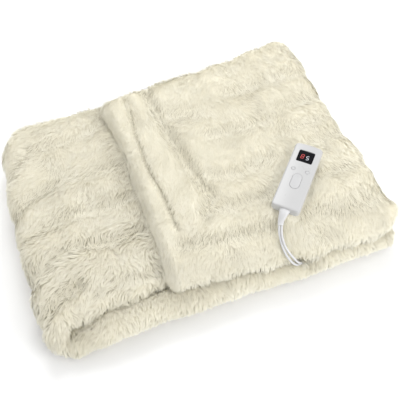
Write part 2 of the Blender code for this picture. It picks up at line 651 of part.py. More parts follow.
def make_handset(shell_finish, key_finish, glass_finish):
    """The handset, with its display end towards +Y before its turn. Each fitting's origin is at the
    middle of its thickness, so the level key's lies on the axis that it rocks about."""
    place = bpy.data.objects.new("handset_place", None)
    bpy.context.scene.collection.objects.link(place)
    place.location = (HANDSET_X, HANDSET_Y, HANDSET_BASE)
    place.rotation_euler = (0, 0, HANDSET_TURN)
    shell = add_object("handset_shell", shell_mesh(), shell_finish, place)
    for row in rows_of(FITTINGS):
        rim = crown_height(abs(row["across"]) + row["width"] / 2)
        floor = rim - row["well"]
        cut_well(shell, row, floor, shell_finish)
        half = (row["proud"] + row["well"] - row["room"]) / 2
        is_glass = row["name"] == "display_window"
        edge_round = 0.0 if is_glass else FITTING_ROUND
        piece = plate_mesh(row["name"], row["width"], row["length"], row["corner"], -half, half, edge_round)
        level = floor + row["room"] + half
        finish = glass_finish if is_glass else key_finish
        add_object(row["name"], piece, finish, place, (row["across"], row["along"], level))
    even = shell.modifiers.new("Even shading", "WEIGHTED_NORMAL")
    even.keep_sharp = True


def make_relief(finish):
    """The tapered sleeve between the handset's end face and the leads."""
    heading = Vector((math.sin(HANDSET_TURN), -math.cos(HANDSET_TURN), 0))
    root = Vector((HANDSET_X, HANDSET_Y, HANDSET_BASE + RELIEF_RISE))
    root += heading * (HANDSET_LENGTH / 2 + GAP)
    ease = RELIEF_EASE * (RELIEF_TIP - root).length
    after_root, before_tip = root + heading * ease, RELIEF_TIP - RELIEF_TIP_HEADING * ease
    rings = []
    for step in range(RELIEF_STEPS + 1):
        # A cubic from the root to the tip, in line with the handset and the leads at its ends
        t = step / RELIEF_STEPS
        u = 1 - t
        middle = u**3 * root + 3 * t * u**2 * after_root + 3 * t * t * u * before_tip + t**3 * RELIEF_TIP
        way = u * u * (after_root - root) + 2 * t * u * (before_tip - after_root)
        way = (way + t * t * (RELIEF_TIP - before_tip)).normalized()
        side = way.cross(Vector((0, 0, 1))).normalized()
        up = side.cross(way)
        taper = u**1.5
        half_width, half_height = (b + (a - b) * taper for a, b in zip(RELIEF_ROOT, RELIEF_END))
        rings.append([middle + side * (half_width * c) + up * (half_height * s) for c, s in circle(1, 16)])
    add_object("strain_relief", loft("strain_relief", rings), finish)


# The leads


def smooth_line(points, step):
    """Points a step apart on one smooth curve through the given ones, and the curve's length. The curve
    is a centripetal Catmull-Rom spline."""
    points = [np.array(point) for point in points]
    given = [2 * points[0] - points[1], *points, 2 * points[-1] - points[-2]]
    fine = []
    for p0, p1, p2, p3 in zip(given, given[1:], given[2:], given[3:]):
        t1 = np.linalg.norm(p1 - p0) ** 0.5
        t2 = t1 + np.linalg.norm(p2 - p1) ** 0.5
        t3 = t2 + np.linalg.norm(p3 - p2) ** 0.5
        for t in np.linspace(t1, t2, 24, endpoint=False):
            a1 = ((t1 - t) * p0 + t * p1) / t1
            a2 = ((t2 - t) * p1 + (t - t1) * p2) / (t2 - t1)
            a3 = ((t3 - t) * p2 + (t - t2) * p3) / (t3 - t2)
            b1 = ((t2 - t) * a1 + t * a2) / t2
            b2 = ((t3 - t) * a2 + (t - t1) * a3) / (t3 - t1)
            fine.append(((t2 - t) * b1 + (t - t1) * b2) / (t2 - t1))
    fine = np.array([*fine, given[-2]])
    reached = np.concatenate([[0], np.cumsum(np.linalg.norm(np.diff(fine, axis=0), axis=1))])
    length = reached[-1]
    wanted = np.linspace(0, length, max(2, round(length / step) + 1))
    return np.stack([np.interp(wanted, reached, fine[:, i]) for i in range(3)], axis=1), length


def make_lead(name, route, finish):
    """A lead's tube along the smooth line through its route. Returns its length."""
    line, length = smooth_line(route, LEAD_STEP)
    curve = bpy.data.curves.new(name, "CURVE")
    curve.dimensions = "3D"
    curve.bevel_depth = LEAD / 2
    curve.bevel_resolution = 2
    curve.use_fill_caps = True
    spline = curve.splines.new("POLY")
    spline.points.add(len(line) - 1)
    for point, place in zip(spline.points, line):
        point.co = (*place, 1)
    add_object(name, curve, finish)
    return length


def make_coil(finish):
    """The turned ring that the wound length of the mains lead fills."""
    half_width, corner = COIL_TURNS_WIDE * LEAD / 2, LEAD / 2
    high = COIL_TURNS_HIGH * LEAD - corner
    profile = []
    for side, level, start in ((1, corner, -90), (1, high, 0), (-1, high, 90), (-1, corner, 180)):
        for a in np.radians(np.linspace(start, start + 90, 4)):
            radius = COIL_RADIUS + side * (half_width - corner) + corner * math.cos(a)
            profile.append((radius, level + corner * math.sin(a)))
    bm = bmesh.new()
    loops = [[bm.verts.new((r * c, r * s, z)) for r, z in profile] for c, s in circle(1, COIL_SIDES)]
    for one, two in zip(loops, loops[1:] + loops[:1]):
        bridge(bm, one, two)
    add_object("mains_lead_coil", mesh_from(bm, "mains_lead_coil"), finish, place=(*COIL_MIDDLE, GAP))


def make_plug(body_finish, pin_finish):
    rings = []
    for row in rows_of(PLUG_SECTIONS):
        ring = []
        for c, s in circle(1, PLUG_SIDES):
            # A squared circle: flat above and below, round at the two sides
            y = row["half_width"] * math.copysign(abs(c) ** PLUG_SQUARENESS[0], c)
            z = row["half_height"] * math.copysign(abs(s) ** PLUG_SQUARENESS[1], s)
            ring.append((row["back"], y, z))
        rings.append(ring)
    add_object("plug_body", loft("plug_body", rings), body_finish, place=PLUG_FACE)
    stations = ((-GAP, 1.0), (PIN_TIP - PIN_LENGTH, 1.0), (-PIN_LENGTH, 0.55))
    outline = circle(PIN_RADIUS, PIN_SIDES)
    rings = [[(back, y * share, z * share) for y, z in outline] for back, share in stations]
    for name, side in (("plug_pin_near", -1), ("plug_pin_far", 1)):
        place = (PLUG_FACE[0], PLUG_FACE[1] + side * PIN_SPREAD / 2, PLUG_FACE[2])
        add_object(name, loft(name, rings), pin_finish, place=place)


def bring_over_origin():
    """Moves everything together, so that the middle of the throw and handset stands over the origin."""
    middle = bpy.data.objects.new("middle", None)
    bpy.context.scene.collection.objects.link(middle)
    middle.location = (*TO_ORIGIN, 0)
    for piece in bpy.data.objects:
        if piece.parent is None and piece != middle:
            piece.parent = middle


def clear_scene():
    for existing in list(bpy.data.objects):
        bpy.data.objects.remove(existing)


def main():
    clear_scene()
    pile = material("cream pile", (0.84, 0.80, 0.66), 0.95)
    white = material("white gloss moulding", (0.88, 0.88, 0.88), 0.28)
    keys = material("white satin moulding", (0.83, 0.83, 0.83), 0.40)
    glass = material("black display glass", (0.01, 0.01, 0.012), 0.08)
    jacket = material("white soft jacket", (0.86, 0.86, 0.86), 0.42)
    nickel = material("nickelled brass", (0.78, 0.76, 0.70), 0.22, 1.0)
    make_throw(pile)
    make_handset(white, keys, glass)
    make_relief(jacket)
    laid = make_lead("mains_lead", MAINS_ROUTE, jacket)
    ended = make_lead("mains_lead_end", PLUG_END_ROUTE, jacket)
    to_throw = make_lead("throw_lead", THROW_ROUTE, jacket)
    make_coil(jacket)
    make_plug(jacket, nickel)
    bring_over_origin()
    turns = (MAINS_LEAD_LENGTH - laid - ended) / (2 * math.pi * COIL_RADIUS)
    print(f"mains lead: {laid:.3f} m laid, {ended:.3f} m at the plug, {turns:.1f} turns wound")
    print(f"lead to the throw: {to_throw:.3f} m")


main()
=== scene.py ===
# %% [markdown]
# # A heated blanket, folded for the shelf
#
# The real thing is a double throw of long cream pile with heating wire between its leaves. It comes
# folded, and its small white handset lies on top at the end of two thin leads.
#
# The solids were modelled first and are loaded here as a fixed frame. This notebook dresses them: it
# grows the pile, gives the mouldings their edges and marks, and winds the real turns of the mains lead.
# Every place is in metres, in the same frame as the solids.

import math

import bpy
import numpy as np
from mathutils import Matrix, Vector, noise
from mathutils.bvhtree import BVHTree
from mathutils.kdtree import KDTree


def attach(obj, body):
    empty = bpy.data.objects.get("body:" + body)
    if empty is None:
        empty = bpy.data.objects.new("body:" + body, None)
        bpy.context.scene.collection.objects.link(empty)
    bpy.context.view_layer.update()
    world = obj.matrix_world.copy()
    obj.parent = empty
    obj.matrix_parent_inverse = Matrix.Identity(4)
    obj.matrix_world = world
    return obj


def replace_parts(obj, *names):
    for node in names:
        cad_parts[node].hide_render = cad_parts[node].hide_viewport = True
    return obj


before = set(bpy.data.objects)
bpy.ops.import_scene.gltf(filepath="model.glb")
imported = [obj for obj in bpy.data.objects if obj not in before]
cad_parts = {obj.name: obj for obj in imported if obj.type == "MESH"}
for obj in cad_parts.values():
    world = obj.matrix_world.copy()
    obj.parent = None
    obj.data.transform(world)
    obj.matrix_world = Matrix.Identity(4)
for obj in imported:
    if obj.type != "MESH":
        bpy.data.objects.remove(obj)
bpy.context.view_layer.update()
print("solids:", sorted(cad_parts))


def in_scene(name, data):
    """A new object with the given data, linked into the scene."""
    made = bpy.data.objects.new(name, data)
    bpy.context.scene.collection.objects.link(made)
    return made


# %% [markdown]
# ## The camera
#
# A camera can be placed by eye, but this one is measured. Its height, turn and focal length were solved
# from the outline of the folded throw and the four corners of the handset at its usual size. It looks down
# at 57 degrees and is rolled a little, as a hand-held picture is.

# %% Camera
PICTURE = 400  # pixels, both ways
FOCAL_PIXELS = 595
SENSOR = 36  # millimetres
CAMERA_PLACE = Vector((-0.1935, -0.5925, 0.9731))
AZIMUTH, ELEVATION, ROLL = (math.radians(angle) for angle in (20.0, 57.3, -1.3))


def camera_matrix(place, azimuth, elevation, roll):
    """A camera that looks along azimuth, counted from +Y towards +X, and down by elevation."""
    level = math.cos(elevation)
    ahead = Vector((math.sin(azimuth) * level, math.cos(azimuth) * level, -math.sin(elevation)))
    right = Vector((math.cos(azimuth), -math.sin(azimuth), 0))
    up = right.cross(ahead)
    turned_right = math.cos(roll) * right + math.sin(roll) * up
    turned_up = math.cos(roll) * up - math.sin(roll) * right
    matrix = Matrix((turned_right, turned_up, -ahead)).transposed().to_4x4()
    matrix.translation = place
    return matrix


camera = in_scene("camera", bpy.data.cameras.new("camera"))
camera.matrix_world = camera_matrix(CAMERA_PLACE, AZIMUTH, ELEVATION, ROLL)
camera.data.sensor_width = SENSOR
camera.data.lens = FOCAL_PIXELS * SENSOR / PICTURE
bpy.context.scene.camera = camera
print("lens:", round(camera.data.lens, 2), "mm")

# %% [markdown]
# ## The leads and their coil
#
# Both leads leave the handset side by side, hang in one bow over the near edge and go in between the
# layers. One ends there. The other runs on under the middle pair, comes out at the far side, and is wound
# into a coil because its spare length has to go somewhere when the throw is stored. A curve with a round
# bevel is the right tool: it keeps its thickness in every bend. The routes were settled on the solids and
# are repeated here. They are read off one smooth curve, a centripetal Catmull-Rom spline, which passes
# through each point and doesn't overshoot where points crowd.

# %% Routes
LEAD = 0.0040  # metres across
LINE_STEP = 0.0040  # between the points that a lead's line is read off at
# The routes were laid out before the whole was moved over its origin by this much
TO_ORIGIN = np.array((0.0022, 0.0074, 0.0))
MAINS_ROUTE = [
    (0.0981, -0.1763, 0.1120), (0.0950, -0.1838, 0.1072), (0.0933, -0.1925, 0.1022),
    (0.0921, -0.2030, 0.0962), (0.0930, -0.2140, 0.0888), (0.0967, -0.2232, 0.0797),
    (0.1030, -0.2288, 0.0685), (0.1108, -0.2298, 0.0570), (0.1200, -0.2275, 0.0485),
    (0.1295, -0.2235, 0.0445), (0.1365, -0.2160, 0.0420), (0.1400, -0.2060, 0.0402),
    (0.1410, -0.1940, 0.0393), (0.1405, -0.1800, 0.03925), (0.1390, -0.1500, 0.03925),
    (0.1370, -0.1000, 0.03925), (0.1345, -0.0500, 0.03925), (0.1320, 0.0000, 0.03925),
    (0.1310, 0.0600, 0.03925), (0.1340, 0.1200, 0.03925), (0.1380, 0.1700, 0.03925),
    (0.1405, 0.2080, 0.03925), (0.1410, 0.2175, 0.0388), (0.1415, 0.2250, 0.0345),
    (0.1415, 0.2290, 0.0260), (0.1415, 0.2315, 0.0165), (0.1408, 0.2370, 0.0080),
    (0.1385, 0.2450, 0.0035), (0.1340, 0.2550, 0.0022), (0.1270, 0.2655, 0.0022),
    (0.1180, 0.2745, 0.0022), (0.1083, 0.2822, 0.0022),
]
THROW_ROUTE = [
    (0.1021, -0.1781, 0.1120), (0.0983, -0.1865, 0.1085), (0.0960, -0.1950, 0.1045),
    (0.0955, -0.2035, 0.0992), (0.0972, -0.2122, 0.0922), (0.1010, -0.2206, 0.0852),
    (0.1067, -0.2264, 0.0759), (0.1130, -0.2296, 0.0650), (0.1200, -0.2288, 0.0560),
    (0.1275, -0.2235, 0.0505), (0.1333, -0.2155, 0.0468), (0.1354, -0.2060, 0.0427),
    (0.1360, -0.1950, 0.0398), (0.1355, -0.1800, 0.03925), (0.1300, -0.1500, 0.03925),
    (0.1180, -0.1200, 0.03925), (0.1000, -0.0900, 0.03925), (0.0820, -0.0620, 0.03925),
]
PLUG_END_ROUTE = [
    (0.0594, 0.2911, 0.0115), (0.0500, 0.2888, 0.0085), (0.0410, 0.2858, 0.0072),
    (0.0330, 0.2845, 0.0070),
]


def smooth_line(points, step):
    """Points a step apart on one smooth curve through the given ones, and the curve's length."""
    points = [np.array(point, float) for point in points]
    given = [2 * points[0] - points[1], *points, 2 * points[-1] - points[-2]]
    fine = []
    for p0, p1, p2, p3 in zip(given, given[1:], given[2:], given[3:]):
        t1 = np.linalg.norm(p1 - p0) ** 0.5
        t2 = t1 + np.linalg.norm(p2 - p1) ** 0.5
        t3 = t2 + np.linalg.norm(p3 - p2) ** 0.5
        t = np.linspace(t1, t2, 16, endpoint=False)[:, None]
        a1 = ((t1 - t) * p0 + t * p1) / t1
        a2 = ((t2 - t) * p1 + (t - t1) * p2) / (t2 - t1)
        a3 = ((t3 - t) * p2 + (t - t2) * p3) / (t3 - t2)
        b1 = ((t2 - t) * a1 + t * a2) / t2
        b2 = ((t3 - t) * a2 + (t - t1) * a3) / (t3 - t1)
        fine.append(((t2 - t) * b1 + (t - t1) * b2) / (t2 - t1))
    fine = np.concatenate([*fine, given[-2][None]])
    reached = np.concatenate([[0], np.cumsum(np.linalg.norm(np.diff(fine, axis=0), axis=1))])
    wanted = np.linspace(0, reached[-1], round(reached[-1] / step) + 1)
    return np.stack([np.interp(wanted, reached, fine[:, i]) for i in range(3)], axis=1), reached[-1]


# %% [markdown]
# A wound lead never sits in perfect rings. Each turn lies beside the last, then the lead climbs to the
# next layer and comes back. The ten places that the turns take are listed in order, and the strand moves
# from one to the next over a short arc. Moves round a corner come earlier than the moves that follow
# them, so that no turn slides into a place which the one ahead hasn't left yet.

# %% Coil
COIL_MIDDLE = (0.0800, 0.2668)
COIL_RINGS = (0.0275, 0.0235, 0.0195)
COIL_LAYERS = (0.0023, 0.0063, 0.0103, 0.0143)
# Ring and layer of each turn, from the first to the last
TURN_PLACES = [(0, 0), (1, 0), (2, 0), (2, 1), (1, 1), (0, 1), (0, 2), (1, 2), (1, 3), (0, 3)]
COIL_STARTS, COIL_ENDS = 60, 100 + 9 * 360  # degrees, anticlockwise from +X
MOVE_ARC = 50  # degrees
COIL_STEP = 20  # degrees


def coil_route():
    """Points of the wound strand, from where the lead joins it to where it leaves for the plug."""
    # Each move: the angle at which it starts, and how much wider and higher the strand lies after it
    moves, corners, was_rising = [], 0, False
    for turn, ((ring, layer), (next_ring, next_layer)) in enumerate(zip(TURN_PLACES, TURN_PLACES[1:]), 1):
        rising = next_layer != layer
        corners += rising != was_rising
        was_rising = rising
        wider = COIL_RINGS[next_ring] - COIL_RINGS[ring]
        higher = COIL_LAYERS[next_layer] - COIL_LAYERS[layer]
        moves.append((360 * turn - MOVE_ARC * (corners + 1), wider, higher))
    route = []
    for angle in range(COIL_STARTS, COIL_ENDS + 1, COIL_STEP):
        radius, height = COIL_RINGS[0], COIL_LAYERS[0]
        for starts, wider, higher in moves:
            share = min(max((angle - starts) / MOVE_ARC, 0), 1)
            share = share * share * (3 - 2 * share)
            radius += share * wider
            height += share * higher
        turned = math.radians(angle)
        x, y = COIL_MIDDLE
        route.append((x + radius * math.cos(turned), y + radius * math.sin(turned), height))
    return route


# %% [markdown]
# The routes and the coil make one line for the mains lead and one for the lead to the throw. Each becomes
# a curve that stands for the solids' own pieces of that lead.

# %% Lay the leads
def lead_curve(name, line):
    """A round lead along a line of points. The bevel of 1 is multiplied by each point's own radius."""
    curve = bpy.data.curves.new(name, "CURVE")
    curve.dimensions = "3D"
    curve.bevel_depth = 1.0
    curve.bevel_resolution = 3
    curve.use_fill_caps = True
    spline = curve.splines.new("POLY")
    spline.points.add(len(line) - 1)
    spline.points.foreach_set("co", np.column_stack([line, np.ones(len(line))]).ravel())
    spline.points.foreach_set("radius", np.full(len(line), LEAD / 2))
    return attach(in_scene(name, curve), "base")


mains_route = MAINS_ROUTE + coil_route() + PLUG_END_ROUTE
mains_line, mains_length = smooth_line(np.array(mains_route) + TO_ORIGIN, LINE_STEP)
throw_line, throw_length = smooth_line(np.array(THROW_ROUTE) + TO_ORIGIN, LINE_STEP)
mains_lead = lead_curve("mains_lead_whole", mains_line)
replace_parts(mains_lead, "mains_lead", "mains_lead_coil", "mains_lead_end")
throw_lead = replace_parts(lead_curve("throw_lead_whole", throw_line), "throw_lead")
print(f"mains lead {mains_length:.3f} m, lead to the throw {throw_length:.3f} m")

# %% [markdown]
# ## Writing finishes as sums
#
# A finish in Blender is a graph of nodes, and graphs are hard to read in text. So one small class wraps a
# node's output and adds a Math node whenever it is used in arithmetic: `1 - mask * 0.3` is then both the
# formula and the graph. Everything else, such as a noise or a colour ramp, goes through one method that
# takes the node's type, its settings and the values of its sockets.

# %% Finishes
class Value:
    """A number that varies over a surface."""

    def __init__(self, finish, output):
        self.finish = finish
        self.output = output

    def math(self, operation, first, second):
        return self.finish.node("Math", {"operation": operation}, {0: first, 1: second})

    def __add__(self, other):
        return self.math("ADD", self, other)

    def __sub__(self, other):
        return self.math("SUBTRACT", self, other)

    def __rsub__(self, other):
        return self.math("SUBTRACT", other, self)

    def __mul__(self, other):
        return self.math("MULTIPLY", self, other)

    __radd__ = __add__
    __rmul__ = __mul__


class Finish:
    """A material that is built node by node in front of its Principled shader."""

    def __init__(self, name, **constants):
        self.material = bpy.data.materials.new(name)
        self.material.use_nodes = True
        self.tree = self.material.node_tree
        self.shader = self.tree.nodes["Principled BSDF"]
        for socket, value in constants.items():
            self.shader.inputs[socket.replace("_", " ")].default_value = value

    def node(self, kind, settings=None, sockets=None, output=0):
        """Any node: its type, its settings, its sockets' values or links, and the wanted output."""
        made = self.tree.nodes.new("ShaderNode" + kind)
        for name, value in (settings or {}).items():
            setattr(made, name, value)
        for name, value in (sockets or {}).items():
            self.feed(made.inputs[name], value)
        return Value(self, made.outputs[output])

    def feed(self, socket, value):
        if isinstance(value, Value):
            self.tree.links.new(value.output, socket)
        else:
            socket.default_value = value

    def stored(self, name):
        """A number that the mesh keeps at each of its points."""
        return self.node("Attribute", {"attribute_name": name}, output="Fac")

    def noise(self, scale, detail=2.0, roughness=0.5, stretch=(1, 1, 1)):
        """Soft noise over the object's own place, stretched along its axes."""
        place = self.node("TexCoord", output="Object")
        place = self.node("Mapping", sockets={"Vector": place, "Scale": stretch})
        sockets = {"Vector": place, "Scale": scale, "Detail": detail, "Roughness": roughness}
        return self.node("TexNoise", sockets=sockets)

    def mix(self, share, one, other):
        """One colour at share 0 and below, the other at share 1 and above."""
        return self.node("Mix", {"data_type": "RGBA"}, {0: share, 6: one, 7: other}, output=2)

    def shades(self, share, colour, darkest):
        """A colour that is darkened a little where share is 0."""
        return self.mix(share, (*(darkest * part for part in colour), 1), (*colour, 1))

    def surface(self, name, value):
        self.feed(self.shader.inputs[name], value)

    def bump(self, height, distance):
        self.surface("Normal", self.node("Bump", sockets={"Height": height, "Distance": distance}))


# %% [markdown]
# ### The pile
#
# Long pile looks soft because each hair is a slightly different cream, paler at its tip than at its root.
# The colour therefore comes from four things: a tint that each lock keeps to itself, how far along the hair
# a point is, painted shade that darkens it by how deep a trough it grows in, and a slow drift of lighter
# and darker patches over the whole cloth, partly uneven tone and partly painted shade and sheen. The first
# three are stored in the mesh as attributes, because only the script that grows the pile knows them.

# %% Pile finish
def pile_finish(name, roots, tips):
    finish = Finish(name, Roughness=0.85, Sheen_Weight=0.45, Sheen_Roughness=0.45, Specular_IOR_Level=0.15)
    along, tint, hollow = (finish.stored(name) for name in ("along", "tint", "hollow"))
    # Slow lighter and darker patches: partly uneven tone, partly painted shade and sheen in broad blotches
    tone_and_shade_drift = finish.noise(14.0)
    # Painted shade: the deeper the trough a lock grows in, the darker its colour
    pale = along * 0.25 + (tint - 0.5) * 0.18 + (tone_and_shade_drift - 0.5) * 0.60 - hollow * 0.25 + 0.61
    finish.surface("Base Color", finish.mix(pale, roots, tips))
    return finish.material


hair_finish = pile_finish("cream_hair", (0.68, 0.63, 0.47, 1), (0.95, 0.92, 0.79, 1))
ground = Finish("cream_ground", Roughness=0.9, Specular_IOR_Level=0.1)
fuzz = ground.noise(420.0, detail=3.0)
# The ground cloth is coloured darker the deeper its trough lies: painted shade
pale = fuzz * 0.4 + ground.noise(9.0) * 0.4 + (0.50 - 0.8 * ground.stored("hollow"))
ground.surface("Base Color", ground.mix(pale, (0.36, 0.32, 0.22, 1), (0.92, 0.88, 0.74, 1)))
ground.bump(fuzz, 0.0012)

# %% [markdown]
# ### Mouldings, leads, window and pins
#
# The handset is a glossy white moulding. Real ones aren't mirror-smooth: a very fine ripple from the
# mould and a few faint rub marks break up the highlight. The keys are satin, the leads have a soft
# jacket, and the pins are nickelled brass with fine marks along them from being pushed into sockets.

# %% Hard finishes
def moulding(name, colour, roughness, ripple, **constants):
    finish = Finish(name, **constants)
    wear = finish.noise(55.0, detail=4.0, roughness=0.6)
    grain = finish.noise(2600.0, detail=1.0)
    finish.surface("Base Color", finish.shades(wear, colour, 0.97))
    finish.surface("Roughness", wear * 0.16 + (roughness - 0.08))
    finish.bump(grain, ripple)
    return finish.material


gloss_white = moulding("white_gloss", (0.53, 0.53, 0.53), 0.30, 0.000008)
satin_white = moulding("white_satin", (0.53, 0.53, 0.535), 0.42, 0.00002)
soft_white = moulding("white_jacket", (0.68, 0.68, 0.69), 0.38, 0.000015)
window_black = moulding("window_black", (0.004, 0.004, 0.006), 0.22, 0.000002, Specular_IOR_Level=0.12)

nickel = Finish("nickelled_pins", Metallic=1.0)
marks = nickel.noise(900.0, detail=3.0, stretch=(0.05, 1, 1))
nickel.surface("Base Color", nickel.mix(marks, (0.66, 0.62, 0.54, 1), (0.80, 0.78, 0.72, 1)))
nickel.surface("Roughness", marks * 0.2 + 0.14)


def glowing(name, colour, strength):
    finish = Finish(name, Roughness=0.4, Emission_Strength=strength)
    unevenly = finish.noise(700.0)
    finish.surface("Emission Color", finish.shades(unevenly, colour, 0.8))
    finish.surface("Base Color", finish.mix(unevenly, (0.02, 0.02, 0.02, 1), (0.05, 0.04, 0.04, 1)))
    return finish.material


red_glow = glowing("red_digit", (0.75, 0.03, 0.03), 0.9)
white_glow = glowing("white_digit", (0.85, 0.87, 0.95), 1.0)
for lead in (mains_lead, throw_lead):
    lead.data.materials.append(soft_white)
print("finishes:", [m.name for m in bpy.data.materials if m.users])

# %% [markdown]
# ## The folded throw
#
# The cloth is folded in half across its width, so it lies as a pair of leaves with a round fold at the
# near side, and that pair goes back and forth: a bottom pair, a middle pair and a shorter flap. The solid
# was swept along that zigzag. Its own mesh is too coarse to grow pile from, so the same sweep is made
# again here, finer where it shows and a little inside the solid, which leaves the pile its room. The
# sizes are the solid's own.

# %% Sizes of the fold
PILE = 0.0032  # how far inside the solid's surface the ground cloth lies
WIDTH, DEPTH = 0.640, 0.470
PAIR, LEAF_GAP, LOW_GAP, HIGH_GAP = 0.0365, 0.0015, 0.0055, 0.0035
PUFF, RIGHT_INSET, FREE_END, FLAP_HEM = 0.004, 0.005, 0.318, -0.100
HALF, HALF_GAP = PAIR / 2, LEAF_GAP / 2
LOW = HALF
MIDDLE = LOW + PAIR + LOW_GAP
HIGH = MIDDLE + PAIR + HIGH_GAP
LEFT_TURN = (MIDDLE - LOW) / 2
RIGHT_TURN = (HIGH - MIDDLE) / 2
LEFT_CENTRE = -WIDTH / 2 + LEFT_TURN + HALF + PUFF
RIGHT_CENTRE = WIDTH / 2 - RIGHT_TURN - HALF - PUFF - RIGHT_INSET
TOP = HIGH + HALF
LEFT_STARTS = FREE_END - LEFT_CENTRE
LEFT_ENDS = LEFT_STARTS + math.pi * LEFT_TURN
RIGHT_STARTS = LEFT_ENDS + RIGHT_CENTRE - LEFT_CENTRE
RIGHT_ENDS = RIGHT_STARTS + math.pi * RIGHT_TURN
CLOTH_LENGTH = RIGHT_ENDS + RIGHT_CENTRE - FLAP_HEM
print(f"cut cloth {CLOTH_LENGTH:.3f} m long, top at {TOP:.4f} m")

# %% [markdown]
# Nothing on a folded throw is straight. These tables say how the near fold and the far hems wander, how
# the flap's hem and the right side stray, and how full the left fold is. Each is a list of named columns,
# and a value between two rows is read off straight.

# %% Edges of the fold
EDGES = [
    ("where", "front", "under", "over"),
    (0.0, -0.2370, 0.231, 0.226),
    (LEFT_STARTS - 0.445, -0.2370, 0.227, 0.223),
    (LEFT_STARTS - 0.250, -0.2300, 0.222, 0.218),
    (LEFT_STARTS - 0.120, -0.2255, 0.228, 0.223),
    (LEFT_STARTS, -0.2325, 0.234, 0.228),
    (LEFT_ENDS, -0.1880, 0.231, 0.226),
    (LEFT_ENDS + 0.035, -0.1925, 0.230, 0.226),
    (LEFT_ENDS + 0.072, -0.1850, 0.230, 0.225),
    (LEFT_ENDS + 0.112, -0.1895, 0.229, 0.225),
    (LEFT_ENDS + 0.150, -0.1820, 0.229, 0.225),
    (LEFT_ENDS + 0.215, -0.1800, 0.214, 0.212),
    (LEFT_ENDS + 0.300, -0.1780, 0.204, 0.203),
    (LEFT_ENDS + 0.400, -0.1810, 0.206, 0.205),
    (RIGHT_STARTS, -0.1850, 0.219, 0.221),
    (RIGHT_ENDS, -0.2290, 0.223, 0.227),
    (RIGHT_ENDS + 0.120, -0.2270, 0.210, 0.213),
    (RIGHT_ENDS + 0.240, -0.2130, 0.198, 0.200),
    (CLOTH_LENGTH, -0.2000, 0.200, 0.202),
]
HEM_WAVE = [
    ("y", "shift"),
    (-0.230, 0.000), (-0.180, -0.006), (-0.130, 0.000), (-0.030, -0.001), (0.090, 0.003), (0.160, -0.004),
    (0.200, -0.010),
]
LEFT_FULLNESS = [
    ("y", "rise"),
    (-0.24, 0.004), (-0.18, 0.009), (-0.08, 0.010), (0.08, 0.008), (0.14, 0.001),
]
RIGHT_SIDE = [
    ("y", "shift"),
    (-0.240, 0.010), (-0.195, 0.005), (-0.155, -0.005), (-0.110, -0.008), (-0.050, -0.007),
    (0.130, -0.007), (0.180, -0.003), (0.230, 0.000),
]
# Puffs push the far edge out between the ends of the far troughs
FAR_EDGE = [
    ("x", "shift"),
    (-0.310, 0.000), (-0.250, 0.002), (-0.170, -0.001), (-0.100, 0.001), (-0.050, 0.003), (-0.022, 0.003),
    (-0.012, 0.002), (0.002, 0.007), (0.030, 0.008), (0.062, 0.007), (0.078, 0.005), (0.088, 0.000),
    (0.100, 0.001), (0.130, 0.003), (0.158, 0.001), (0.168, -0.005), (0.182, 0.001), (0.215, 0.005),
    (0.240, 0.000), (0.262, 0.005), (0.290, 0.002),
]
CORNERS = [("x", "y", "radius"), (-1, -1, 0.034), (-1, 1, 0.080), (1, -1, 0.026), (1, 1, 0.022)]

# %% [markdown]
# The cloth is quilted by its own pile: soft puffs with troughs between them. A trough is a short line in
# the plan with a depth and a width. The solid has the main ones too.

# %% Troughs
FLAP_TROUGHS = [
    ("depth", "width", "points"),
    (0.0045, 0.0045, [(-0.060, 0.190), (-0.067, 0.116), (-0.069, 0.010), (-0.063, -0.067)]),
    (0.0045, 0.0045, [(-0.063, -0.067), (-0.062, -0.120)]),
    (0.0040, 0.0100, [(-0.056, 0.175), (-0.063, 0.120)]),
    (0.0085, 0.0110, [(-0.018, 0.200), (-0.010, 0.095), (-0.004, 0.032)]),
    (0.0085, 0.0110, [(-0.004, 0.032), (0.006, -0.039), (0.013, -0.08), (-0.006, -0.108)]),
    (0.0060, 0.0200, [(0.004, 0.118), (0.049, 0.106)]),
    (0.0085, 0.0120, [(-0.065, -0.154), (-0.010, -0.163), (0.028, -0.164), (0.092, -0.172)]),
    (0.0065, 0.0130, [(0.146, -0.170), (0.170, -0.171), (0.212, -0.183), (0.330, -0.182)]),
    (0.0060, 0.0130, [(0.005, -0.100), (0.045, -0.113), (0.070, -0.111), (0.105, -0.118)]),
    (0.0060, 0.0120, [(0.205, -0.104), (0.245, -0.112), (0.33, -0.106), (0.39, -0.11)]),
    (0.0050, 0.0130, [(0.030, -0.040), (0.080, -0.052), (0.142, -0.043)]),
    (0.0050, 0.0130, [(0.235, -0.036), (0.290, -0.030), (0.380, -0.034)]),
    (0.0045, 0.0130, [(0.195, 0.008), (0.245, 0.004), (0.310, 0.016), (0.380, 0.012)]),
    (0.0045, 0.0130, [(0.060, 0.045), (0.130, 0.036), (0.180, 0.042)]),
    (0.0060, 0.0120, [(0.228, 0.062), (0.275, 0.062), (0.345, 0.070), (0.390, 0.068)]),
    (0.0050, 0.0130, [(0.128, 0.128), (0.172, 0.122), (0.205, 0.134)]),
    (0.0050, 0.0130, [(0.240, 0.129), (0.285, 0.131), (0.350, 0.124)]),
    (0.0040, 0.0140, [(0.168, 0.104), (0.164, 0.060)]),
    (0.0050, 0.0160, [(0.206, 0.056), (0.195, 0.005)]),
    (0.0050, 0.0130, [(0.006, -0.170), (0.010, -0.230)]),
    (0.0060, 0.0180, [(0.165, -0.205), (0.176, -0.240)]),
    (0.0040, 0.0140, [(0.255, -0.002), (0.252, -0.045)]),
]
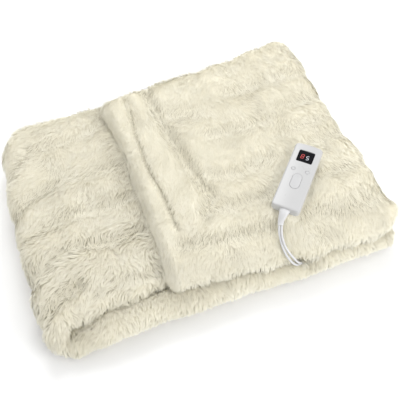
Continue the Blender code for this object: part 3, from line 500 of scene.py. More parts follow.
BARE_TROUGHS = [
    ("depth", "width", "points"),
    (0.0035, 0.0130, [(-0.140, 0.166), (-0.200, 0.160), (-0.262, 0.160)]),
    (0.0060, 0.0120, [(-0.262, 0.160), (-0.300, 0.134), (-0.345, 0.100), (-0.4, 0.1)]),
    (0.0050, 0.0130, [(-0.105, 0.066), (-0.169, 0.068), (-0.230, 0.077)]),
    (0.0070, 0.0120, [(-0.230, 0.077), (-0.275, 0.062), (-0.32, 0.036), (-0.4, 0.026)]),
    (0.0060, 0.0120, [(-0.110, -0.006), (-0.149, -0.007), (-0.225, 0.000)]),
    (0.0080, 0.0110, [(-0.225, 0.0), (-0.275, -0.012), (-0.32, -0.026), (-0.4, -0.034)]),
    (0.0100, 0.0120, [(-0.114, -0.080), (-0.171, -0.080), (-0.224, -0.068)]),
    (0.0090, 0.0120, [(-0.224, -0.068), (-0.27, -0.076), (-0.32, -0.1), (-0.4, -0.11)]),
    (0.0110, 0.0110, [(-0.245, -0.138), (-0.280, -0.146), (-0.315, -0.170), (-0.360, -0.196)]),
    (0.0050, 0.0120, [(-0.225, -0.166), (-0.165, -0.158), (-0.120, -0.168)]),
    (0.0020, 0.0160, [(-0.112, 0.200), (-0.116, 0.090), (-0.114, -0.040), (-0.118, -0.150)]),
    (0.0035, 0.0160, [(-0.190, 0.040), (-0.186, 0.010)]),
    (0.0035, 0.0160, [(-0.235, 0.120), (-0.225, 0.080)]),
]
print(len(FLAP_TROUGHS) + len(BARE_TROUGHS) - 2, "troughs")

# %% [markdown]
# A few helpers read the tables and turn lines and noise into fields over the plan. They work on whole
# arrays of points at once.

# %% Reading the tables
def ramp(value, start, end):
    """From 0 at start to 1 at end, level at both."""
    t = np.clip((value - start) / (end - start), 0.0, 1.0)
    return t * t * (3 - 2 * t)


def band(value, rise_from, rise_to, fall_from, fall_to):
    """A ramp up and a later one down again."""
    return ramp(value, rise_from, rise_to) * (1 - ramp(value, fall_from, fall_to))


def rows_of(table):
    """Each row as a dictionary under the table's titles."""
    return [dict(zip(table[0], row)) for row in table[1:]]


def read_off(table, key, value, at):
    """The value column, read straight between rows at places in the key column."""
    rows = rows_of(table)
    return np.interp(at, [row[key] for row in rows], [row[value] for row in rows])


def distance_to(x, y, points):
    """How far the plan points x, y lie from a line through points."""
    nearest = np.full_like(x, np.inf)
    for (x0, y0), (x1, y1) in zip(points, points[1:]):
        long_x, long_y = x1 - x0, y1 - y0
        along = np.clip(((x - x0) * long_x + (y - y0) * long_y) / (long_x**2 + long_y**2), 0, 1)
        nearest = np.minimum(nearest, np.hypot(x - x0 - along * long_x, y - y0 - along * long_y))
    return nearest


DEEPER, WIDER = 1.15, 1.25  # than on the solid, because the pile softens them again


def troughs(x, y, table):
    """How deep the troughs press the ground cloth in. Crossing troughs don't add up."""
    depth = np.zeros_like(x)
    for row in rows_of(table):
        near = distance_to(x, y, row["points"]) / (WIDER * row["width"])
        depth = np.maximum(depth, DEEPER * row["depth"] * np.exp(-(near**2)))
    return depth


def wander(x, y, layer, long_way, short_way):
    """Slow ups and downs between -1 and 1 over the plan, different on each layer."""
    places = zip(np.ravel(x) / long_way, np.ravel(y) / short_way)
    return np.reshape([noise.noise(Vector((u, v, layer))) for u, v in places], np.shape(x))


# %% [markdown]
# The relief has a formula for each stretch of cloth: the flap, the part beside it, and the bottom pair's
# near roll. Under the handset the cloth is pressed flat. Each formula gives a height over the plain
# folded form.

# %% Relief
HANDSET_X, HANDSET_Y, HANDSET_TURN = 0.162, -0.111, math.radians(-43.9)
HANDSET_LENGTH, HANDSET_WIDTH, HANDSET_HEIGHT = 0.140, 0.050, 0.018
SEAT = TOP + 0.0012
HANDSET_BASE = SEAT + 0.0005
PLUMP = 0.0040  # how far the puffs stand out on the whole
UNEVEN, UNEVEN_OVER = 0.0068, (0.080, 0.060)  # how much that wanders, and over what lengths in x and y
FALLS_FROM = 0.150  # on the flap, the y at which it starts to sink towards its far hem
PRESSED_FLAT, PRESSED_TO = 0.003, 0.025  # reach of the handset's weight round its outline
RIDGE, LOWER_RIDGE = 0.0165, 0.0115  # of the bottom pair's near roll, left and right of the middle
DIP_X, DIP_HALF = 0.136, 0.017  # where the leads press into that ridge
# The stitched seam between the flap's two panels, a thin line outside the soft trough that it makes
SEAM = [(-0.057, 0.160), (-0.063, 0.116), (-0.064, 0.060), (-0.067, 0.010), (-0.062, -0.040)]
SEAM += [(-0.0595, -0.075), (-0.060, -0.112)]
SEAM_DEPTH, SEAM_WIDTH = 0.0024, 0.0014


def handset_reach(x, y):
    """How far the plan points x, y lie outside the handset's outline."""
    turn_cos, turn_sin = math.cos(HANDSET_TURN), math.sin(HANDSET_TURN)
    dx, dy = x - HANDSET_X, y - HANDSET_Y
    across = np.abs(dx * turn_cos + dy * turn_sin) - HANDSET_WIDTH / 2
    along = np.abs(dy * turn_cos - dx * turn_sin) - HANDSET_LENGTH / 2
    return np.hypot(np.maximum(across, 0), np.maximum(along, 0))


def flap_relief(s, x, y):
    """Puffs, troughs and the seam of the flap. They fade at the hem and are shallow at the right side."""
    shown = ramp(s, RIGHT_STARTS, RIGHT_STARTS + 1.2 * RIGHT_TURN)
    at_hem = ramp(s, CLOTH_LENGTH - 0.004, CLOTH_LENGTH - 0.016)
    shallow = 1 - 0.5 * ramp(x, RIGHT_CENTRE, RIGHT_CENTRE + 0.04)
    height = PLUMP * (0.35 + 0.65 * at_hem) + UNEVEN * wander(x, y, 3.7, *UNEVEN_OVER)
    height = height - shallow * troughs(x, y, FLAP_TROUGHS) - 0.003 * ramp(y, FALLS_FROM, 0.220)
    stitched = 1 + 0.9 * wander(x, y, 44.0, 0.030, 0.022)
    height = height - SEAM_DEPTH * stitched * np.exp(-((distance_to(x, y, SEAM) / SEAM_WIDTH) ** 2))
    pressed = 1 - ramp(handset_reach(x, y), PRESSED_FLAT, PRESSED_TO)
    return shown * (height + pressed * (SEAT - TOP - height))


def bare_relief(s, x, y):
    """Puffs and troughs of the part beside the flap, and the fullness of the left fold."""
    shown = ramp(s, LEFT_STARTS, LEFT_STARTS + 1.2 * LEFT_TURN)
    shown = shown * (1 - ramp(x, FLAP_HEM + 0.005, FLAP_HEM + 0.035))
    shallow = 1 - 0.45 * ramp(x, LEFT_CENTRE, LEFT_CENTRE - 0.04)
    height = PLUMP + UNEVEN * wander(x, y, 1.3, *UNEVEN_OVER) - shallow * troughs(x, y, BARE_TROUGHS)
    height = height - 0.006 * ramp(y, 0.185, 0.230)
    around_fold = np.sin(np.clip((s - LEFT_STARTS) / LEFT_TURN, 0, math.pi))
    return shown * height + read_off(LEFT_FULLNESS, "y", "rise", y) * around_fold**2


def bottom_relief(s, x, y):
    """The ridge along the bottom pair's near roll, and the dip that the leads press into it."""
    dip = np.exp(-(((x - DIP_X) / DIP_HALF) ** 4))
    before_fold = 1 - ramp(s, LEFT_STARTS - 0.07, LEFT_STARTS + 0.03)
    height = RIDGE - (RIDGE - LOWER_RIDGE) * ramp(x, -0.02, 0.09)
    return height * ramp(y, -0.172, -0.194) * before_fold * (1 - dip)


# %% [markdown]
# The sweep itself has two parts: a line that goes back and forth, and one closed section across the pair
# of leaves that it carries. First the line: straight stretches, joined by half a turn at the left and one
# at the right.

# %% Middle line
def middle_line(s):
    """x, z and heading of the cloth's middle line at the lengths s from the bottom pair's cut end."""
    left = np.clip((s - LEFT_STARTS) / LEFT_TURN, 0, math.pi)
    right = np.clip((s - RIGHT_STARTS) / RIGHT_TURN, 0, math.pi)
    x = FREE_END - np.minimum(s, LEFT_STARTS) - LEFT_TURN * np.sin(left) + RIGHT_TURN * np.sin(right)
    x = x + np.clip(s - LEFT_ENDS, 0, RIGHT_CENTRE - LEFT_CENTRE) - np.clip(s - RIGHT_ENDS, 0, None)
    z = LOW + LEFT_TURN * (1 - np.cos(left)) + RIGHT_TURN * (1 - np.cos(right))
    return x, z, math.pi - left + right


end_x, end_z, _ = middle_line(CLOTH_LENGTH)
print(f"the flap's hem lies at x {end_x:.3f}, z {end_z:.4f} m")

# %% [markdown]
# Then the section. Its two leaves are joined by the round near fold and have soft rounds at their far
# hems. Next to each point it keeps which way is out and how far round the near fold it is, because the
# relief needs both.

# %% Section
OUTER_POINTS, TURN_POINTS, HEM_POINTS, INNER_POINTS = 92, 15, 5, 8  # of a section's faces and rounds


def cloth_section(s, inset):
    """Rows of y, n across the pair, outwards in y and n, and the angle round the near fold, -1 inside."""
    half = HALF - inset
    round_ = (half - HALF_GAP) / 2
    centre = read_off(EDGES, "where", "front", s) + HALF
    under = read_off(EDGES, "where", "under", s) - inset - round_
    over = read_off(EDGES, "where", "over", s) - inset - round_
    quarter = math.pi / 2
    section = []

    def straight(y0, y1, n, out, angle, count):
        for y in np.linspace(y0, y1, count):
            section.append((y, n, 0.0, out, angle))

    def arc(y, n, radius, start, end, count, angle_of):
        for a in np.linspace(start, end, count + 2)[1:-1]:
            out_y, out_n = math.cos(a), math.sin(a)
            section.append((y + radius * out_y, n + radius * out_n, out_y, out_n, angle_of(a)))

    straight(under, centre, half, 1.0, 0.0, OUTER_POINTS)
    arc(centre, 0, half, quarter, 3 * quarter, TURN_POINTS, lambda a: a - quarter)
    straight(centre, over, -half, -1.0, math.pi, OUTER_POINTS)
    arc(over, -(half + HALF_GAP) / 2, round_, -quarter, quarter, HEM_POINTS, lambda a: -1.0)
    straight(over, centre, -HALF_GAP, 0.0, -1.0, INNER_POINTS)
    arc(centre, 0, HALF_GAP, 3 * quarter, quarter, 2, lambda a: -1.0)
    straight(centre, under, HALF_GAP, 0.0, -1.0, INNER_POINTS)
    arc(under, (half + HALF_GAP) / 2, round_, -quarter, quarter, HEM_POINTS, lambda a: -1.0)
    return np.array(section).T, centre


def rounded_corners(x, y):
    """Draws the plan places in to the folded throw's round corners."""
    for row in rows_of(CORNERS):
        radius = row["radius"]
        a = np.clip((x * row["x"] - WIDTH / 2 + radius) / radius, 0, 1)
        b = np.clip((y * row["y"] - DEPTH / 2 + radius) / radius, 0, 1)
        x = x - row["x"] * radius * a * (1 - np.sqrt(1 - b * b / 2))
        y = y - row["y"] * radius * b * (1 - np.sqrt(1 - a * a / 2))
    return x, y


# %% [markdown]
# Every point of a section takes the relief of the place where it lies. Round the near fold the reliefs of
# the two leaves blend into each other, and the roll has slow ups and downs of its own.

# %% Relief of a section
ROLL_PLUMP, ROLL_UNEVEN, ROLL_OVER = 0.0030, 0.0048, (0.074, 0.050)  # of the round near fold
# Painted shade along the seam's foot: how dark a line it paints into the pile's colour, and how wide
SEAM_SHADE, SEAM_SHADE_WIDTH = 0.006, 0.0016  # how dark and how wide the seam's foot is


def section_relief(along, x, y, centre, angle):
    """How far each point of a section stands out from the plain fold, and its trough depth for painted
    shade.
    """
    # The plan places that a point of a round fold would have if the fold were laid out flat
    outer = 1 + HALF / LEFT_TURN
    bare_x = np.where(along < LEFT_ENDS, LEFT_CENTRE - (LEFT_ENDS - along) * outer, x)
    flap_x = np.where(along < RIGHT_ENDS, RIGHT_CENTRE + (RIGHT_ENDS - along) * outer, x)
    around = np.clip(angle, 0, math.pi)
    bare_y = np.where(around > 0, centre - HALF * around, y)
    flap_y = np.where(around < math.pi, centre - HALF * (math.pi - around), y)
    share = np.cos(around / 2) ** 2
    relief = share * bare_relief(along, bare_x, bare_y) + (1 - share) * flap_relief(along, flap_x, flap_y)
    relief += ramp(around, 0.45 * math.pi, 0.85 * math.pi) * bottom_relief(along, x, flap_y)
    rolling = ROLL_UNEVEN * wander(x * 1.7, 0.4 * along, 8.1, *ROLL_OVER)
    relief += np.sin(around) ** 2 * (ROLL_PLUMP + rolling)
    # How deep each point's trough is; this only darkens the colour there, as painted shade
    hollow = share * troughs(bare_x, bare_y, BARE_TROUGHS)
    hollow += (1 - share) * troughs(flap_x, flap_y, FLAP_TROUGHS)
    # A thin dark line of painted shade along the seam's foot
    in_seam = np.exp(-((distance_to(flap_x, flap_y, SEAM) / SEAM_SHADE_WIDTH) ** 2))
    hollow += SEAM_SHADE * (1 - share) * (along > RIGHT_ENDS) * in_seam
    return np.where(angle < 0, 0.0, relief), np.where(angle < 0, 0.0, hollow)


# %% [markdown]
# Cloth has weight. The flap's near roll hangs down over the pairs below it, its hem lies down on the pile
# beside it, and the middle pair's near roll sinks a little. Then the right side, the corners and the far
# edge stray as their tables say, and nothing goes below the surface.

# %% Settle and place
HANGS_BY, SINKS_BY = 0.034, 0.006  # the flap's near roll, and the middle pair's
LIES_ON = 0.0078  # height of the relief on which the flap's hem rests without changing


def settled(along, x, y, z, inset):
    """The height z after the cloth has sunk and hung by its own weight."""
    hangs = ramp(along, RIGHT_STARTS, RIGHT_ENDS + 0.03) * ramp(y, -0.150, -0.222)
    # The flap's hem lies down on the pile beside it and follows its ups and downs
    rests = ramp(along, CLOTH_LENGTH - 0.060, CLOTH_LENGTH - 0.012) * ramp(y, -0.225, -0.200)
    beside = bare_relief(LEFT_ENDS + 0.1, np.minimum(x, FLAP_HEM), y) - LIES_ON
    # The middle pair's near roll sinks onto the ridge below it
    sinks = band(along, LEFT_ENDS - 0.02, LEFT_ENDS + 0.03, LEFT_ENDS + 0.20, LEFT_ENDS + 0.26)
    z = z - HANGS_BY * hangs - 0.45 * (inset - PILE) * (along > RIGHT_ENDS) + rests * beside
    return z - SINKS_BY * sinks * ramp(y, -0.140, -0.180)


def cloth_points(s, inset):
    """The section's points at the length s along the cloth, and each one's trough depth, for painted shade.
    """
    (y, n, out_y, out_n, angle), centre = cloth_section(s, inset)
    hem_shift = read_off(HEM_WAVE, "y", "shift", y) + 0.024 * ramp(y, 0.196, 0.226) ** 2
    along = s - hem_shift * ramp(s, CLOTH_LENGTH - 0.090, CLOTH_LENGTH)
    x, z, heading = middle_line(along)
    relief, hollow = section_relief(along, x, y, centre, angle)
    y, n = y + out_y * relief, n + out_n * relief
    world_x = x - n * np.sin(heading)
    world_z = settled(along, x, y, z + n * np.cos(heading), inset)
    right_shift = read_off(RIGHT_SIDE, "y", "shift", y)
    right_shift = np.where(along < LEFT_STARTS, np.minimum(right_shift, -0.005), right_shift)
    world_x = world_x + right_shift * ramp(world_x, 0.150, 0.290)
    world_x, y = rounded_corners(world_x, y)
    y = y + read_off(FAR_EDGE, "x", "shift", world_x) * ramp(y, 0.165, 0.205)
    # The pile under the bottom leaf is squashed flat, so there the ground cloth comes down to the surface
    world_z = world_z - inset * (1 - ramp(world_z, inset, inset + 0.012))
    placed = np.stack([world_x, y, np.maximum(world_z, 0.0)], axis=1) + TO_ORIGIN
    return np.column_stack([placed, hollow])


# %% [markdown]
# Only some stretches show, so the stations crowd there: the left fold, the part beside the flap, the
# right fold and the flap. The rest, which lies between layers, gets wide steps. At each cut end the pair
# of leaves closes in a soft round. The result is a grid of points, station by station, and a grid is also
# the easiest thing to grow pile on.

# %% Ground cloth
STRETCHES = [
    ("from", "to", "step"),
    (0.018, LEFT_STARTS, 0.016),
    (LEFT_STARTS, LEFT_ENDS, 0.0026),
    (LEFT_ENDS, LEFT_ENDS + 0.205, 0.0045),
    (LEFT_ENDS + 0.205, RIGHT_STARTS, 0.022),
    (RIGHT_STARTS, RIGHT_ENDS, 0.0026),
    (RIGHT_ENDS, CLOTH_LENGTH - 0.050, 0.0050),
    (CLOTH_LENGTH - 0.050, CLOTH_LENGTH - 0.018, 0.0014),
]
HEM_ANGLES = [math.radians(a) for a in (84, 66, 48, 31, 15, 4)]  # of the sections in the round of a cut end
# The pile and the ground cloth are painted darkest, as shade, in a trough this deep
DARKEST_SHADE_DEPTH = 0.014  # a trough of this depth has the darkest pile


def cloth_stations():
    """Length along the cloth and inset of every section."""
    hem_round = HALF - PILE - HALF_GAP - 0.0006
    hem = [(PILE + hem_round * (1 - math.sin(a)), PILE + hem_round * (1 - math.cos(a))) for a in HEM_ANGLES]
    stations = list(hem)
    for row in rows_of(STRETCHES):
        count = max(1, round((row["to"] - row["from"]) / row["step"]))
        stations += [(s, PILE) for s in np.linspace(row["from"], row["to"], count + 1)[1:]]
    stations += [(CLOTH_LENGTH - reach, inset) for reach, inset in reversed(hem)]
    return stations


stations = cloth_stations()
grid = np.array([cloth_points(s, inset) for s, inset in stations])
grid, hollow_grid = grid[..., :3], np.clip(grid[..., 3] / DARKEST_SHADE_DEPTH, 0, 1)
station_s = np.array([s for s, inset in stations])
print("ground cloth grid:", grid.shape[:2])


def mesh_object(name, points, faces, finish, body="base", slot=None):
    """A piece from points and faces, shaded smooth, that rides on a body."""
    mesh = bpy.data.meshes.new(name)
    mesh.from_pydata([tuple(p) for p in points], [], faces)
    mesh.validate()
    mesh.shade_smooth()
    mesh.materials.append(finish)
    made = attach(in_scene(name, mesh), body)
    return made if slot else made


def grid_faces(rows, columns):
    """Quads of a tube of rows rings with columns points each, and its two end caps."""
    faces = []
    for i in range(rows - 1):
        for j in range(columns):
            k = (j + 1) % columns
            faces.append((i * columns + j, i * columns + k, (i + 1) * columns + k, (i + 1) * columns + j))
    faces.append(tuple(range(columns - 1, -1, -1)))
    faces.append(tuple((rows - 1) * columns + j for j in range(columns)))
    return faces


rows, columns = grid.shape[:2]
throw_ground = mesh_object(
    "throw_ground", grid.reshape(-1, 3), grid_faces(rows, columns), ground.material, slot="cream_pile"
)
throw_ground.data.attributes.new("hollow", "FLOAT", "POINT").data.foreach_set("value", hollow_grid.ravel())
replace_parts(throw_ground, "throw")
print("ground cloth faces:", len(throw_ground.data.polygons))

# %% [markdown]
# ## Growing the pile
#
# Blender has a hair system, but its strands aren't a mesh, and this part must end as one. So each lock of
# pile is a narrow, tapered strip of five triangles that bends over as it leaves the cloth. The steps are
# the ones that any fur needs: find the surface's directions, find out where there is room, scatter roots,
# comb them, gather them into tufts, and build the strips.
#
# First the directions. On a grid they are plain differences between neighbours.

# %% Directions of the cloth
across = np.roll(grid, -1, axis=1) - np.roll(grid, 1, axis=1)
lengthwise = np.gradient(grid, axis=0)


def unit(vectors):
    return vectors / np.maximum(np.linalg.norm(vectors, axis=-1, keepdims=True), 1e-9)


across, lengthwise = unit(across), unit(lengthwise)
normals = unit(np.cross(lengthwise, across))
middles = grid.mean(axis=1, keepdims=True)
if ((grid - middles) * normals).sum() < 0:
    normals = -normals
forward = np.cross(across, normals)
lengthwise = unit(forward * np.sign((forward * lengthwise).sum(-1, keepdims=True)))
print("mean upward part of the normals:", round(float(normals[..., 2].mean()), 3))

# %% [markdown]
# Then the room. Between layers there is no space for pile, and none of it would show. From each point
# five rays go out, one straight and four leaning; how far they get on average says how open that point
# is.

# %% Openness
LEAN_RAYS = [(0.0, 0.0), (0.9, 0.0), (-0.9, 0.0), (0.0, 0.9), (0.0, -0.9)]
OFF_CLOTH, FREE_RAY = 0.0015, 0.050  # where a ray starts, and how far it has to get
INNER = (204, 222)  # the grid's columns on the inner faces of the leaves
HEM_ROWS = len(HEM_ANGLES) + 1


def openness():
    """Mean free share of each grid point's rays."""
    tree = BVHTree.FromPolygons(grid.reshape(-1, 3).tolist(), grid_faces(rows, columns)[:-2])
    free = np.zeros((rows, columns))
    # The inner faces of the leaves show only where they round into the cut ends
    shows = np.ones((rows, columns), bool)
    shows[HEM_ROWS:-HEM_ROWS, slice(*INNER)] = False
    for lean_across, lean_along in LEAN_RAYS:
        ways = unit(normals + lean_across * across + lean_along * lengthwise)
        starts = grid + normals * OFF_CLOTH
        for i in range(rows):
            for j in np.flatnonzero(shows[i]):
                hit = tree.ray_cast(Vector(starts[i, j]), Vector(ways[i, j]), FREE_RAY)[3]
                floor = starts[i, j, 2] / -ways[i, j, 2] if ways[i, j, 2] < 0 else FREE_RAY
                free[i, j] += min(hit if hit is not None else FREE_RAY, floor, FREE_RAY) / FREE_RAY
    return free / len(LEAN_RAYS)


open_share = openness()
# At the bottom pair's cut end the pile creeps out under the fold above it
creeps = (station_s[:, None] < 0.045) & (np.arange(columns)[None] < INNER[0])
open_share = np.where(creeps, np.maximum(open_share, 0.5), open_share)
print("open part of the cloth:", round(float((open_share > 0.5).mean()), 3))

# %% [markdown]
# Roots are scattered with a chance that follows each patch's area and openness. The flap's panel seam
# keeps a thin line nearly free, as the stitches pull the pile apart there. Faces that look up get more
# than those that look down, because they are what a buyer sees and strokes, and the cut ends and near and
# far sides get more again, because there the cloth bends and would show through.

# %% Scatter the roots
LOCKS = 158000
CLOSED, OPEN = 0.22, 0.38  # openness at which the pile starts to grow, and at which it is full
SEAM_FREE, SEAM_LINE = 0.80, 0.0012  # how much of the pile the seam's line lacks, and its width
random = np.random.default_rng(24)


def seam_distance(points, s):
    """Distance from the flap's panel seam, far away off the flap."""
    place = points - TO_ORIGIN
    return np.where(s > RIGHT_ENDS, distance_to(place[..., 0], place[..., 1], SEAM), 1.0)


def scatter(count):
    """Row and column of every root's cell of the grid, and its place in that cell."""
    one, two = grid[:-1], grid[1:]
    edge_along = two - one
    edge_across = np.roll(one, -1, axis=1) - one
    area = np.linalg.norm(np.cross(edge_along, edge_across), axis=-1)
    room = ramp(open_share[:-1], CLOSED, OPEN)
    up = 0.6 + 0.4 * ramp(normals[:-1, :, 2], -0.2, 0.6)
    beside_seam = 1 - SEAM_FREE * np.exp(-((seam_distance(one, station_s[:-1, None]) / SEAM_LINE) ** 2))
    station = np.arange(rows - 1)[:, None]
    at_hem = np.where((station < HEM_ROWS) | (station > rows - 3 - HEM_ROWS), 2.0, 1.0)
    edge = ramp(one[..., 1], -0.13, -0.16) + ramp(one[..., 1], 0.17, 0.19)
    at_edge = 1 + 0.9 * edge * ramp(normals[:-1, :, 2], 0.4, -0.2)
    weight = (area * room * up * beside_seam * at_hem * at_edge).ravel()
    cells = np.sort(random.choice(len(weight), count, p=weight / weight.sum()))
    return cells // columns, cells % columns, random.random((count, 1)), random.random((count, 1))


row_of, column_of, part_row, part_column = scatter(LOCKS)


def at_roots(field):
    """A grid's field, read between its four neighbours at every root."""
    field = field if field.ndim == 3 else field[..., None]
    next_column = (column_of + 1) % columns
    low = field[row_of, column_of] * (1 - part_column) + field[row_of, next_column] * part_column
    high = field[row_of + 1, column_of] * (1 - part_column) + field[row_of + 1, next_column] * part_column
    return low * (1 - part_row) + high * part_row


root = at_roots(grid)
out = unit(at_roots(normals))
root_s = at_roots(np.broadcast_to(station_s[:, None], (rows, columns)))[:, 0]
room = at_roots(open_share)[:, 0]
hollow_root = at_roots(hollow_grid)[:, 0]
plan = root - TO_ORIGIN
print(len(root), "locks of pile")

# %% [markdown]
# Combing. A hand strokes the pile towards itself, so most of it lies to the near side, and it hangs down
# where the cloth turns over an edge. A few strokes, judged one by one, say where the heading differs:
# outwards over the left fold and over the right side. Between strokes the heading is their weighted mean,
# and slow and quick swings are added to it.

# %% Comb the pile
STROKES = [
    ("x", "y", "to_x", "to_y"),
    (-0.29, 0.13, -0.95, -0.30), (-0.29, -0.03, -0.90, -0.50), (-0.27, -0.17, -0.70, -0.75),
    (-0.19, 0.16, -0.45, -0.90), (-0.17, 0.03, -0.60, -0.80), (-0.17, -0.10, -0.35, -0.95),
    (-0.15, -0.19, -0.10, -1.00), (-0.08, 0.10, -0.75, -0.65), (-0.08, -0.08, -0.70, -0.70),
    (-0.02, 0.12, -0.20, -0.98), (0.06, 0.17, -0.50, -0.85), (0.10, 0.03, -0.30, -0.95),
    (0.20, 0.12, 0.10, -1.00), (0.29, 0.10, 0.50, -0.85), (0.27, -0.05, 0.30, -0.95),
    (0.02, -0.13, -0.25, -0.95), (0.12, -0.19, 0.00, -1.00), (0.27, -0.18, 0.25, -0.97),
]
STROKE_REACH = 0.03
# How far each root lies on the flap, on the part beside it, on the near half, and outside the panel seam
on_flap = ramp(root_s, RIGHT_STARTS, RIGHT_ENDS)
on_left = band(root_s, LEFT_STARTS - 0.02, LEFT_STARTS + 0.03, LEFT_ENDS + 0.16, LEFT_ENDS + 0.22)
near_half = ramp(plan[:, 1], 0.06, -0.14)
strip = on_flap * ramp(plan[:, 0], -0.052, -0.068)
seam_near = seam_distance(root, root_s)
hem_y = (read_off(EDGES, "where", "under", root_s) + read_off(EDGES, "where", "over", root_s)) / 2
at_far_hem = ramp(plan[:, 1] - hem_y, -0.022, -0.006)


def comb_at_roots():
    """The way that each lock is combed, along the cloth."""
    pull, total = np.zeros((LOCKS, 2)), 0
    for row in rows_of(STROKES):
        weight = 1 / ((plan[:, 0] - row["x"]) ** 2 + (plan[:, 1] - row["y"]) ** 2 + STROKE_REACH**2)
        pull += weight[:, None] * np.array((row["to_x"], row["to_y"]))
        total = total + weight
    pull = pull / total[:, None]
    # At the far hems and the flap's hem it falls outwards over the edge instead
    far = (at_far_hem * ramp(out[:, 2], 0.8, 0.2))[:, None]
    hem = (on_flap * ramp(root_s, CLOTH_LENGTH - 0.022, CLOTH_LENGTH - 0.004))[:, None]
    pull = pull * (1 - far) + np.array((0.0, 0.9)) * far
    pull = pull * (1 - hem) + np.array((-1.0, -0.3)) * hem
    level = ramp(out[:, 2], -0.3, 0.6)[:, None]
    pull = np.column_stack([pull * level, -1.15 + level])
    comb = unit(pull - (pull * out).sum(axis=1, keepdims=True) * out)
    slow = wander(plan[:, 0], plan[:, 1], 21.0, 0.060, 0.060)
    quick = wander(plan[:, 0], plan[:, 1] + plan[:, 2], 33.0, 0.020, 0.020)
    swing = (1.2 + 0.2 * on_left) * slow + (0.6 + 0.5 * on_left * near_half) * quick
    swing = (swing + random.normal(0, 0.12, LOCKS))[:, None] * (1 - 0.5 * strip[:, None])
    return np.cos(swing) * comb + np.sin(swing) * np.cross(out, comb)


comb = comb_at_roots()
print("combed; mean pull to the near side:", round(float(-comb[:, 1].mean()), 3))

# %% [markdown]
# A lock's length, width and lean are its character. The part beside the flap is longer and shaggier, most
# of all at its near corner; the flap is brushed smoother, and its strip outside the seam is shortest.

# %% Length, width and lean
SHORT_PILE, LONG_PILE = 0.0125, 0.0185
THIN_LOCK, WIDE_LOCK = 0.0009, 0.0014
LEANS = [math.radians(angle) for angle in (23, 12, 4)]  # of the lock's three stretches, above the cloth
# How far a root lies round the underside of the middle pair's near roll
edge_way = at_far_hem - ramp(plan[:, 1], -0.120, -0.160)
in_crease = ramp(out[:, 2], 0.35, -0.2) * np.abs(edge_way) * ramp(plan[:, 2], 0.030, 0.042)
# How far it lies on the side of the flap's hem, whose pile falls over the hem's foot
over_hem = on_flap * ramp(root_s, CLOTH_LENGTH - 0.016, CLOTH_LENGTH - 0.005) * ramp(out[:, 2], 0.7, 0.1)
# How far it lies on the bottom pair in front of that roll, where nothing presses the pile down
before_crease = (root_s < LEFT_STARTS) * band(plan[:, 1], -0.165, -0.175, -0.200, -0.220)
before_crease *= ramp(out[:, 2], 0.1, 0.5)
# And how far it lies beside the foot of the flap's hem
at_foot = on_left * ramp(plan[:, 0], -0.135, -0.112) * ramp(out[:, 2], 0.5, 0.8)
shaggy = 0.08 + 0.10 * on_left + 0.42 * on_left * near_half + 0.28 * (1 - on_flap) * (1 - on_left)
shaggy = np.clip(shaggy + 0.25 * wander(plan[:, 0], plan[:, 1], 55.0, 0.05, 0.05), 0, 1)
length = (SHORT_PILE + (LONG_PILE - SHORT_PILE) * shaggy) * random.uniform(0.75, 1.15, LOCKS)
length = length * (1 - 0.2 * strip)
length = length * (0.5 + 0.5 * ramp(room, 0.25, 0.5)) * (0.3 + 0.7 * ramp(seam_near, 0.0003, 0.0040))
width = (THIN_LOCK + (WIDE_LOCK - THIN_LOCK) * shaggy) * random.uniform(0.7, 1.2, LOCKS)
ragged = wander(plan[:, 0], plan[:, 2], 77.0, 0.022, 0.05)
length = length * (1 + in_crease * (0.75 + 1.3 * ragged) + 0.3 * over_hem)
lift = 1 + 0.5 * shaggy + 1.5 * before_crease + 0.8 * at_far_hem + 0.6 * at_foot
lift = random.normal(1.0, 0.15, LOCKS) * lift


def lock_lines(comb):
    """The four points of each lock's middle line."""
    points = [root - out * 0.0005]
    side = np.cross(out, comb)
    curl = random.normal(0, 0.16, LOCKS)[:, None]
    sway = random.normal(0, 0.12, LOCKS) + 0.35 * wander(plan[:, 0], plan[:, 2], 91.0, 0.018, 0.03)
    for step, lean in enumerate(LEANS):
        way = unit(comb + side * curl * step)
        rise = np.clip(lean * lift, 0.02, 1.2)[:, None]
        stretch = np.cos(rise) * way + np.sin(rise) * out
        # Under the roll and over the flap's hem it hangs by its own weight
        hang = np.column_stack([sway, 0.2 * edge_way, np.full(LOCKS, -0.6)])
        stretch = unit(stretch + in_crease[:, None] * (step + 1) * hang)
        stretch = unit(stretch + over_hem[:, None] * step * np.array((-0.25, 0.0, -0.45)))
        points.append(points[-1] + stretch * (length / 3)[:, None])
    return np.stack(points, axis=1)


lines = lock_lines(comb)
print(f"locks {1000 * length.min():.1f} to {1000 * length.max():.1f} mm long")

# %% [markdown]
# Tufts. Pile clings together at its tips. A few locks are chosen as the middles of tufts, every other
# lock finds its nearest middle, and its outer points are drawn towards that middle's own line, more so
# where the pile is shaggy.

# %% Gather the tufts
LOCKS_TO_A_TUFT = 7
SMOOTH_PULL, SHAGGY_PULL = 0.25, 0.5  # how much a lock is drawn in, and how much more where shaggy
TUFT_STEPS = np.array([0.0, 0.25, 0.7, 1.0])  # share of that at each point of the lock


def gather(lines):
    """The locks' lines drawn together in tufts, and the middle lock of each one's tuft."""
    middles = random.choice(LOCKS, LOCKS // LOCKS_TO_A_TUFT, replace=False)
    tree = KDTree(len(middles))
    for at, lock in enumerate(middles):
        tree.insert(lines[lock, 0], at)
    tree.balance()
    nearest = np.array([tree.find(place)[1] for place in lines[:, 0]])
    leader = middles[nearest]
    # A lock joins its tuft only where both grow from the same side of the cloth
    same_side = ramp((out * out[leader]).sum(axis=1), 0.3, 0.8)
    share = (same_side * (SMOOTH_PULL + SHAGGY_PULL * shaggy))[:, None] * TUFT_STEPS
    offset = (lines[:, :1] - lines[leader, :1]) * (1 - 0.6 * TUFT_STEPS)[None, :, None]
    joined = lines[leader] + offset
    return lines * (1 - share[..., None]) + joined * share[..., None], leader


